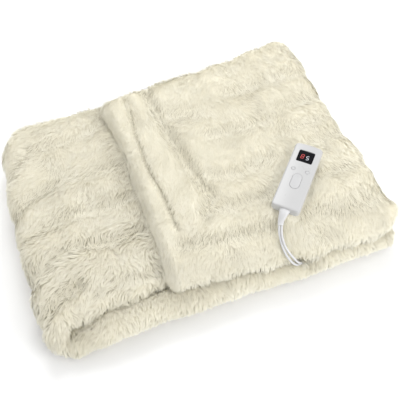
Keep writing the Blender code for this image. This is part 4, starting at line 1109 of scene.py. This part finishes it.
lines, leader = gather(lines)
tint = 0.55 * random.random(LOCKS) + 0.45 * random.random(LOCKS)[leader]
print("tufts:", len(np.unique(leader)))

# %% [markdown]
# The handset and the leads lie on the pile and press it aside. A lock that would grow through one of them
# is combed the other way, and one that still does is left out. Nothing may reach below the surface
# either.

# %% Make way for the handset and the leads
RELIEF_TIP = (0.1003, -0.1768, 0.1122)  # of the handset's sleeve
BESIDE_HANDSET, BELOW_TOP = 0.0004, 0.012
LOWEST_POINT, LOWEST_CORNER = 0.0006, 0.0003  # over the surface, of a lock's line and of its strip


def handset_clash(lines):
    """Locks on the flap with a point inside the handset's outline, seen from above."""
    place = lines - TO_ORIGIN
    inside = handset_reach(place[..., 0], place[..., 1]) < BESIDE_HANDSET
    inside &= place[..., 2] > TOP - BELOW_TOP
    inside &= (root_s > RIGHT_ENDS - 0.02)[:, None]
    return inside.any(axis=1)


def lead_clash(lines):
    """Locks with a point that comes close to a lead or the sleeve."""
    sleeve, _ = smooth_line([(0.1155, -0.1582, 0.129), (0.106, -0.168, 0.124), RELIEF_TIP], 0.002)
    # The sleeve is wide in its first 10 mm, and the leads need more room where they hang free
    kept_free = [(p, 0.0085 if at < 5 else 0.0055) for at, p in enumerate(sleeve + TO_ORIGIN)]
    kept_free += [(p, 0.0045 if p[1] < -0.2 else 0.0030) for p in np.concatenate([mains_line, throw_line])]
    tree = KDTree(len(kept_free))
    for at, (p, reach) in enumerate(kept_free):
        tree.insert(p, at)
    tree.balance()
    low, high = mains_line.min(0) - 0.01, mains_line.max(0) + 0.02
    clash = ((lines[:, 0] > low) & (lines[:, 0] < high)).all(axis=1)
    for lock in np.flatnonzero(clash):
        found = [tree.find(point) for point in lines[lock]]
        clash[lock] = any(distance < kept_free[at][1] for _, at, distance in found)
    return clash


bent_back = lock_lines(-comb)
clashing = handset_clash(lines) | lead_clash(lines)
lines = np.where(clashing[:, None, None], bent_back, lines)
kept = ~(handset_clash(lines) | lead_clash(lines))
lines[..., 2] = np.maximum(lines[..., 2], LOWEST_POINT)
print("bent back:", int(clashing.sum()), "left out:", int((~kept).sum()))

# %% [markdown]
# Now the strips. Each has two points at the first three stations and one at the tip, so five triangles.
# Their shading normals are mostly the cloth's own: real pile scatters light as a soft mass, and strips
# that were shaded each by its own flat face would glitter like straw. The pile is split into four pieces
# along X, which keeps each one light.

# %% Build the pile
TAPER = [0.85, 1.0, 0.62]  # times the lock's width, at the first three points
ALONG = [0, 0, 0.45, 0.45, 0.8, 0.8, 1]  # how far out each point is, for the pile's colour
LOCK_FACES = np.array([(0, 1, 3), (0, 3, 2), (2, 3, 5), (2, 5, 4), (4, 5, 6)])
PILE_NAMES = ["pile_left", "pile_middle_left", "pile_middle_right", "pile_right"]
OWN_SHADING = 0.09  # the strip's own share in its shading normals


def pile_piece(name, locks):
    """One mesh of all the given locks."""
    line, facing = lines[locks], out[locks]
    ways = unit(np.gradient(line, axis=1))
    twist = random.normal(0, 0.3, (len(locks), 1, 1))
    side = unit(np.cross(ways, facing[:, None]))
    side = unit(side * np.cos(twist) + facing[:, None] * np.sin(twist))
    spread = side[:, :3] * (width[locks][:, None] * np.array(TAPER) / 2)[..., None]
    points = np.empty((len(locks), 7, 3))
    points[:, 0:6:2] = line[:, :3] - spread
    points[:, 1:6:2] = line[:, :3] + spread
    points[:, 6] = line[:, 3]
    points[..., 2] = np.maximum(points[..., 2], LOWEST_CORNER)
    faces = (LOCK_FACES[None] + 7 * np.arange(len(locks))[:, None, None]).reshape(-1, 3)
    own = unit(np.cross(side, ways))
    own = own * np.sign((own * facing[:, None]).sum(-1, keepdims=True) + 1e-9)
    own = own[:, [0, 0, 1, 1, 2, 2, 3]]
    soft = unit(facing[:, None] * (1 - OWN_SHADING) + own * OWN_SHADING)
    return add_pile(name, points.reshape(-1, 3), faces, soft.reshape(-1, 3), locks)


def add_pile(name, points, faces, soft, locks):
    """The mesh itself, written in bulk, with each lock's marks and soft normals."""
    mesh = bpy.data.meshes.new(name)
    mesh.vertices.add(len(points))
    mesh.vertices.foreach_set("co", points.astype(np.float32).ravel())
    mesh.loops.add(faces.size)
    mesh.loops.foreach_set("vertex_index", faces.astype(np.int32).ravel())
    mesh.polygons.add(len(faces))
    mesh.polygons.foreach_set("loop_start", np.arange(0, faces.size, 3, dtype=np.int32))
    mesh.update(calc_edges=True)
    mesh.shade_smooth()
    marks = {"along": np.tile(ALONG, len(locks))}
    # The trough depth goes with each lock, for the painted shade in the pile's colour
    marks.update(tint=np.repeat(tint[locks], 7), hollow=np.repeat(hollow_root[locks], 7))
    for label, values in marks.items():
        mesh.attributes.new(label, "FLOAT", "POINT").data.foreach_set("value", values.astype(np.float32))
    mesh.normals_split_custom_set_from_vertices(soft.tolist())
    mesh.materials.append(hair_finish)
    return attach(in_scene(name, mesh), "base")


order = np.flatnonzero(kept)[np.argsort(root[kept, 0])]
pile = [pile_piece(name, locks) for name, locks in zip(PILE_NAMES, np.array_split(order, len(PILE_NAMES)))]
print({piece.name: len(piece.data.polygons) for piece in pile})

# %% [markdown]
# ## The handset
#
# It is a flat box with a slightly crowned top, a black window, two round buttons and a pill-shaped key.
# Its mesh is a loft: the same rounded section again and again along its length, drawn in at the two ends.
# The wells for the window and the keys are cut with Booleans, as a moulder's cores would leave them.

# %% Handset shell
CROWN = 0.0016  # the top's middle over its rim
PLAN_ROUND, END_ROUND, LOW_ROUND, HIGH_ROUND = 0.006, 0.0022, 0.005, 0.004
GROOVE = [(0, 0.0078), (0.00025, 0.0080), (0.00025, 0.0083), (0, 0.0085)]  # depth and height
FITTINGS = [
    ("name", "across", "along", "width", "length", "corner", "proud", "well", "room", "around"),
    ("display_window", 0.0, 0.0425, 0.0280, 0.0250, 0.0022, -0.0002, 0.0030, 0.0003, 0.0003),
    ("left_button", -0.0125, 0.0115, 0.0066, 0.0066, 0.0033, 0.0008, 0.0050, 0.0014, 0.00025),
    ("right_button", 0.0125, 0.0115, 0.0066, 0.0066, 0.0033, 0.0008, 0.0050, 0.0014, 0.00025),
    ("level_key", 0.0, -0.0130, 0.0164, 0.0320, 0.0082, 0.0008, 0.0050, 0.0014, 0.00025),
]
place = Vector((HANDSET_X, HANDSET_Y, HANDSET_BASE)) + Vector(TO_ORIGIN)
handset_matrix = Matrix.Translation(place) @ Matrix.Rotation(HANDSET_TURN, 4, "Z")


def crown_height(across):
    """Height of the handset's top over its base."""
    rim = HANDSET_WIDTH / 2 - HIGH_ROUND
    return HANDSET_HEIGHT - CROWN * (across / rim) ** 2


def shell_section(inset_across, inset_up):
    """The handset's outline across its width, with the fine parting groove along its sides."""
    half, shoulder, middle = HANDSET_WIDTH / 2, HANDSET_HEIGHT - CROWN, HANDSET_HEIGHT / 2
    rim = half - HIGH_ROUND
    groove = [(half - deep, high) for deep, high in GROOVE]
    points = []

    def arc(x, z, radius, start, end, count=10):
        for a in np.radians(np.linspace(start, end, count)):
            points.append((x + radius * math.cos(a), z + radius * math.sin(a)))

    arc(half - LOW_ROUND, LOW_ROUND, LOW_ROUND, -90, 0)
    points.extend(groove)
    arc(rim, shoulder - HIGH_ROUND, HIGH_ROUND, 0, 80)
    points.extend((x, crown_height(x)) for x in np.linspace(rim, -rim, 41)[1:-1])
    arc(-rim, shoulder - HIGH_ROUND, HIGH_ROUND, 100, 180)
    points.extend((-x, z) for x, z in reversed(groove))
    arc(LOW_ROUND - half, LOW_ROUND, LOW_ROUND, 180, 270)
    narrower, lower = 1 - inset_across / half, 1 - inset_up / middle
    return [(x * narrower, middle + (z - middle) * lower) for x, z in points]


def rounded_inset(reach, radius):
    """How far a round of this radius draws in at a reach from the end."""
    left = max(radius - reach, 0)
    return radius - math.sqrt(radius**2 - left**2)


def tube(rings):
    """Points and faces of a loft through rings."""
    return np.array(rings).reshape(-1, 3), grid_faces(len(rings), len(rings[0]))


def shell_rings():
    ends = [0, 0.00012, 0.0004, 0.0008, 0.0014, END_ROUND, 0.0030, 0.0040, 0.0050, PLAN_ROUND]
    inner = list(np.linspace(PLAN_ROUND, HANDSET_LENGTH - PLAN_ROUND, 44)[1:-1])
    reaches = ends + inner + [HANDSET_LENGTH - reach for reach in reversed(ends)]
    rings = []
    for at in reaches:
        reach = min(at, HANDSET_LENGTH - at)
        section = shell_section(rounded_inset(reach, PLAN_ROUND), rounded_inset(reach, END_ROUND))
        rings.append([(x, at - HANDSET_LENGTH / 2, z) for x, z in section])
    return rings


# %% [markdown]
# The fittings are plates: one outline with round corners, again and again at rising levels, drawn in a
# little where an edge is eased. Every piece is made flat in the handset's own directions and then turned
# into its place.

# %% Plates and fittings
def rounded_plan(width, length, corner, steps=10):
    """A rectangle's outline with round corners, anticlockwise, with no point twice."""
    points = []
    for side_x, side_y, start in ((1, 1, 0), (-1, 1, 90), (-1, -1, 180), (1, -1, 270)):
        for a in np.radians(np.linspace(start, start + 90, steps)):
            x = side_x * (width / 2 - corner) + corner * math.cos(a)
            y = side_y * (length / 2 - corner) + corner * math.sin(a)
            if not points or min(math.dist((x, y), points[0]), math.dist((x, y), points[-1])) > 1e-5:
                points.append((x, y))
    return points


def plate_rings(width, length, corner, levels):
    """Rings of a flat plate. Levels are pairs of height and how far the outline is drawn in there."""
    rings = []
    for z, inset in levels:
        drawn_in = rounded_plan(width - 2 * inset, length - 2 * inset, max(corner - inset, 0.0002))
        rings.append([(x, y, z) for x, y in drawn_in])
    return rings


def sharpened(made, degrees):
    """The same object, with edges steeper than this shaded sharp."""
    made.data.set_sharp_from_angle(angle=math.radians(degrees))
    return made


def on_handset(name, points, faces, finish, body="base", slot=None, sharp=35):
    """A piece whose points are given on the handset: across it, along it and up."""
    made = mesh_object(name, points, faces, finish, body, slot)
    made.data.transform(handset_matrix)
    return sharpened(made, sharp)


def fitting(name, row, rings, finish, body="base", slot=None, along=0.0):
    """A lofted piece at the place of one of the handset's fittings, or that far along from it."""
    points, faces = tube(rings)
    place = np.array((row["across"], row["along"] + along, 0))
    return on_handset(name, points + place, faces, finish, body, slot)


def rim_under(row):
    """Height of the handset's top beside a fitting."""
    return crown_height(abs(row["across"]) + row["width"] / 2)


shell = on_handset("handset_moulding", *tube(shell_rings()), gloss_white, slot="white_gloss_moulding")
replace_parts(shell, "handset_shell")

# %% [markdown]
# Each fitting sits in a well with a hair's breadth of room round it. A core of that shape is taken out of
# the shell and then thrown away.

# %% Cut the wells
for row in rows_of(FITTINGS):
    rim, wider = rim_under(row), 2 * row["around"]
    outline = (row["width"] + wider, row["length"] + wider, row["corner"] + row["around"])
    # The well's mouth is eased outwards, as a moulded edge is
    levels = [(rim - row["well"], 0.0), (rim - 0.0003, 0.0), (HANDSET_HEIGHT + 0.0004, -0.0003)]
    cutter = fitting(row["name"] + "_core", row, plate_rings(*outline, levels), gloss_white)
    cut = shell.modifiers.new(row["name"], "BOOLEAN")
    cut.operation = "DIFFERENCE"
    cut.object = cutter
    bpy.context.view_layer.objects.active = shell
    bpy.ops.object.modifier_apply(modifier=cut.name)
    bpy.data.objects.remove(cutter)
sharpened(shell, 30)
even = shell.modifiers.new("even shading", "WEIGHTED_NORMAL")
even.keep_sharp = True
print("handset faces:", len(shell.data.polygons))

# %% [markdown]
# The buttons and the key are caps with a rounded rim. Their tops are dished a little for the fingertip,
# and each carries low raised marks: a dot on each button, a plus and a minus at the key's two ends. They
# ride on their own bodies, so they press and rock with the joints.

# %% Buttons and key
def cap_levels(low, high, round_edge, dish):
    """Side, rounded rim and dished top of a cap."""
    levels = [(low, 0.0)]
    for a in np.radians([0, 22, 45, 67, 90]):
        levels.append((high - round_edge * (1 - math.sin(a)), round_edge * (1 - math.cos(a))))
    levels.append((high - 0.3 * dish, round_edge + 0.0004))
    levels.append((high - dish, round_edge + 0.0012))
    return levels


ROUND_EDGE, DISH = 0.0008, 0.00015
KEY_MARKS = [
    ("name", "along", "width", "length"),
    ("key_plus_long", 0.0105, 0.0034, 0.0007),
    ("key_plus_upright", 0.0105, 0.0007, 0.0034),
    ("key_minus", -0.0105, 0.0034, 0.0007),
]


def raised_bar(name, row, along, width, length, level):
    """A low bar on a fitting's top, with its edge eased."""
    levels = [(level - 0.0002, 0), (level, 0), (level + 0.00012, 0.0001)]
    rings = plate_rings(width, length, min(width, length) * 0.45, levels)
    fitting(name, row, rings, satin_white, row["name"], "white_satin_moulding", along=along)


for row in rows_of(FITTINGS)[1:]:
    low, high = rim_under(row) - row["well"] + row["room"], rim_under(row) + row["proud"]
    rings = plate_rings(row["width"], row["length"], row["corner"], cap_levels(low, high, ROUND_EDGE, DISH))
    cap = fitting(row["name"] + "_cap", row, rings, satin_white, row["name"], "white_satin_moulding")
    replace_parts(cap, row["name"])
    if row["name"] == "level_key":
        for mark in rows_of(KEY_MARKS):
            raised_bar(mark["name"], row, mark["along"], mark["width"], mark["length"], high - DISH)
    else:
        raised_bar(row["name"] + "_dot", row, 0, 0.0012, 0.0012, high - DISH)

# %% [markdown]
# The window is a flat lens of black plastic. Two seven-bar digits glow on it, the heat setting in red and
# the hours in white. Each bar is a small six-sided plate, and the digits lean to the right as such
# displays do.

# %% Window and digits
row = rows_of(FITTINGS)[0]
lens_top = rim_under(row) + row["proud"]
levels = [(rim_under(row) - row["well"] + row["room"], 0), (lens_top - 0.0003, 0), (lens_top, 0.0003)]
rings = plate_rings(row["width"], row["length"], row["corner"], levels)
lens = fitting("display_lens", row, rings, window_black, slot="black_display_window")
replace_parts(lens, "display_window")

BAR_THICK, SLANT = 0.0011, 0.12
BARS = {
    "top": ((-0.5, 1.0), (0.5, 1.0)),
    "middle": ((-0.5, 0.5), (0.5, 0.5)),
    "bottom": ((-0.5, 0.0), (0.5, 0.0)),
    "upper left": ((-0.5, 0.5), (-0.5, 1.0)),
    "upper right": ((0.5, 0.5), (0.5, 1.0)),
    "lower left": ((-0.5, 0.0), (-0.5, 0.5)),
    "lower right": ((0.5, 0.0), (0.5, 0.5)),
}
FIVE = ("top", "upper left", "middle", "lower right", "bottom")


def digit(name, bars, place, size, finish):
    """Seven-bar digit of the given bars, with its lower middle at a place on the handset."""
    across, along = place
    points, faces = [], []
    for bar in bars:
        start, end = (np.array(corner) * size for corner in BARS[bar])
        way = (end - start) / np.linalg.norm(end - start)
        side = np.array((-way[1], way[0])) * BAR_THICK / 2
        tip, shoulder = way * BAR_THICK * 0.12, way * BAR_THICK * 0.62
        outline = [start + tip, start + shoulder - side, end - shoulder - side, end - tip]
        outline += [end - shoulder + side, start + shoulder + side]
        first = len(points)
        for level in (lens_top - 0.0001, lens_top + 0.00005):
            points += [(across + x + SLANT * y, along + y, level) for x, y in outline]
        faces.append(tuple(first + 6 + i for i in range(6)))
        faces.append(tuple(first + 5 - i for i in range(6)))
        for i in range(6):
            k = (i + 1) % 6
            faces.append((first + i, first + k, first + 6 + k, first + 6 + i))
    on_handset(name, points, faces, finish, sharp=20)


digit("heat_digit", tuple(BARS), (-0.0060, 0.0378), (0.0046, 0.0086), red_glow)
digit("hours_digit", FIVE, (0.0034, 0.0372), (0.0042, 0.0078), white_glow)

# %% [markdown]
# ### The sleeve
#
# Where the leads leave the handset a soft sleeve keeps them from kinking. It flares at the handset, is
# flat like a duck's bill, and bends down with the leads. It is swept along a cubic curve that starts in
# line with the handset and ends in line with the leads, with a small lip at its tip.

# %% Sleeve
TIP_HEADING = Vector((-0.35, -0.80, -0.47)).normalized()


def circle(sides):
    """Angles of the corners of a round with this many sides."""
    return np.linspace(0, 2 * math.pi, sides + 1)[:-1]


def sleeve_rings(steps=36, sides=28):
    heading = Vector((math.sin(HANDSET_TURN), -math.cos(HANDSET_TURN), 0))
    root = Vector((HANDSET_X, HANDSET_Y, HANDSET_BASE + 0.0088)) + heading * (HANDSET_LENGTH / 2 + 0.0001)
    tip = Vector(RELIEF_TIP)
    ease = 0.36 * (tip - root).length
    after, before = root + heading * ease, tip - TIP_HEADING * ease
    rings = []
    for step in range(steps + 1):
        t = step / steps
        u = 1 - t
        middle = u**3 * root + 3 * t * u**2 * after + 3 * t * t * u * before + t**3 * tip
        way = u * u * (after - root) + 2 * t * u * (before - after) + t * t * (tip - before)
        way.normalize()
        side = way.cross(Vector((0, 0, 1))).normalized()
        up = side.cross(way)
        lip = 0.00035 * math.exp(-(((t - 0.965) / 0.022) ** 2))
        half_width = 0.0047 + 0.0045 * u**1.5 + lip
        half_height = 0.0025 + 0.0027 * u**1.5 + lip
        middle = middle + Vector(TO_ORIGIN)
        wide, high = side * half_width, up * half_height
        rings.append([tuple(middle + wide * math.cos(a) + high * math.sin(a)) for a in circle(sides)])
    return rings


sleeve = mesh_object("lead_sleeve", *tube(sleeve_rings()), soft_white, slot="white_soft_jacket")
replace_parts(sharpened(sleeve, 50), "strain_relief")

# %% [markdown]
# ### The plug
#
# A flat moulded plug with two pins, of the kind on light appliances. Its body is a loft through rings
# that are squared circles: flat above and below, round at the sides. Ribs on its waist give the fingers a
# hold, and slits let its tail bend. The pins are a little thicker near the body and have rounded tips.

# %% Plug
PLUG_FACE = Vector((-0.0010, 0.2845, 0.0070)) + Vector(TO_ORIGIN)
PLUG_SECTIONS = [
    ("back", "half_width", "half_height"),
    (0.0000, 0.0116, 0.0058), (0.0004, 0.0124, 0.0064), (0.0014, 0.0130, 0.0068),
    (0.0100, 0.0130, 0.0068), (0.0145, 0.0126, 0.0067), (0.0170, 0.0117, 0.0065),
    (0.0205, 0.0092, 0.0061), (0.0235, 0.0071, 0.0057), (0.0260, 0.0050, 0.0047),
    (0.0300, 0.0040, 0.0040), (0.0335, 0.0033, 0.0033),
]
# Grip ribs on the waist, and the slits of the flexible tail
WAIST, RIB_PITCH, RIB_DEPTH = (0.0125, 0.0205), 0.0008, 0.0004
TAIL, SLIT_PITCH, SLIT_DEPTH = (0.0262, 0.0325), 0.0018, 0.0005


def plug_rings(steps=90, sides=56):
    """Rings of the plug from its face back to its tail."""
    rings = []
    for back in np.linspace(0, PLUG_SECTIONS[-1][0], steps + 1):
        half_width = read_off(PLUG_SECTIONS, "back", "half_width", back)
        half_height = read_off(PLUG_SECTIONS, "back", "half_height", back)
        rib_turn = math.pi * (back - WAIST[0]) / RIB_PITCH
        ribs = RIB_DEPTH * max(0.0, math.sin(rib_turn)) * (WAIST[0] < back < WAIST[1])
        slit_turn = 2 * math.pi * (back - TAIL[0]) / SLIT_PITCH
        slits = SLIT_DEPTH * (math.sin(slit_turn) > 0.35) * (TAIL[0] < back < TAIL[1])
        ring = []
        for a in circle(sides):
            y = (half_width - slits) * math.copysign(abs(math.cos(a)) ** 0.62, math.cos(a))
            z = (half_height - ribs - slits) * math.copysign(abs(math.sin(a)) ** 0.55, math.sin(a))
            ring.append((back, y, z))
        rings.append(ring)
    return rings


points, faces = tube(plug_rings())
points = points + np.array(PLUG_FACE)
plug = mesh_object("plug_moulding", points, faces, soft_white, slot="white_soft_jacket")
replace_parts(sharpened(plug, 42), "plug_body")

PIN_OUT = 0.0093  # of each pin from the plug's middle
PIN_LEVELS = [(-0.0003, 0.00195), (-0.0006, 0.0020), (-0.0100, 0.0020), (-0.0102, 0.0019)]
PIN_LEVELS += [(-0.0175, 0.0019), (-0.0184, 0.0017), (-0.0188, 0.0013), (-0.0190, 0.0007)]


def pin(name, side, node):
    """One pin, lofted through rings at its levels of back and radius."""
    rings = [[(back, r * math.cos(a), r * math.sin(a)) for a in circle(32)] for back, r in PIN_LEVELS]
    points, faces = tube(rings)
    middle = np.array(PLUG_FACE) + np.array((0, side * PIN_OUT, 0))
    made = mesh_object(name, points + middle, faces, nickel.material, slot="nickelled_brass")
    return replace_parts(sharpened(made, 40), node)


pins = [pin("pin_near", -1, "plug_pin_near"), pin("pin_far", 1, "plug_pin_far")]

# %% [markdown]
# ## Floor and light
#
# The throw lies on a white ground in light from all around. A bright surround does most of the work. Two
# large soft boxes, one beyond the far side and one at the near right, give it direction, so that every
# puff has a soft shaded side.

# %% Floor and light
floor_finish = Finish("pale_floor", Roughness=0.9)
speck = floor_finish.noise(30.0)
floor_finish.surface("Base Color", floor_finish.mix(speck, (0.94, 0.94, 0.94, 1), (0.96, 0.96, 0.96, 1)))
floor_mesh = bpy.data.meshes.new("floor")
floor_mesh.from_pydata([(-1.6, -1.6, 0), (1.6, -1.6, 0), (1.6, 1.6, 0), (-1.6, 1.6, 0)], [], [(0, 1, 2, 3)])
floor_mesh.materials.append(floor_finish.material)
floor = in_scene("floor", floor_mesh)
floor.location.z = -0.0004

world = bpy.data.worlds.new("surround")
world.use_nodes = True
background = world.node_tree.nodes["Background"].inputs
background["Color"].default_value = (1, 1, 1, 1)
background["Strength"].default_value = 0.86
bpy.context.scene.world = world
bpy.context.scene.view_settings.view_transform = "Standard"


def softbox(name, place, size, power):
    """A square light that faces the origin."""
    light = bpy.data.lights.new(name, "AREA")
    light.size = size
    light.energy = power
    made = in_scene(name, light)
    made.location = place
    made.rotation_euler = (-Vector(place)).to_track_quat("-Z", "Y").to_euler()


softbox("far light", (0.15, 1.0, 1.4), 0.9, 12)
softbox("near light", (1.0, -1.15, 0.9), 1.0, 11)
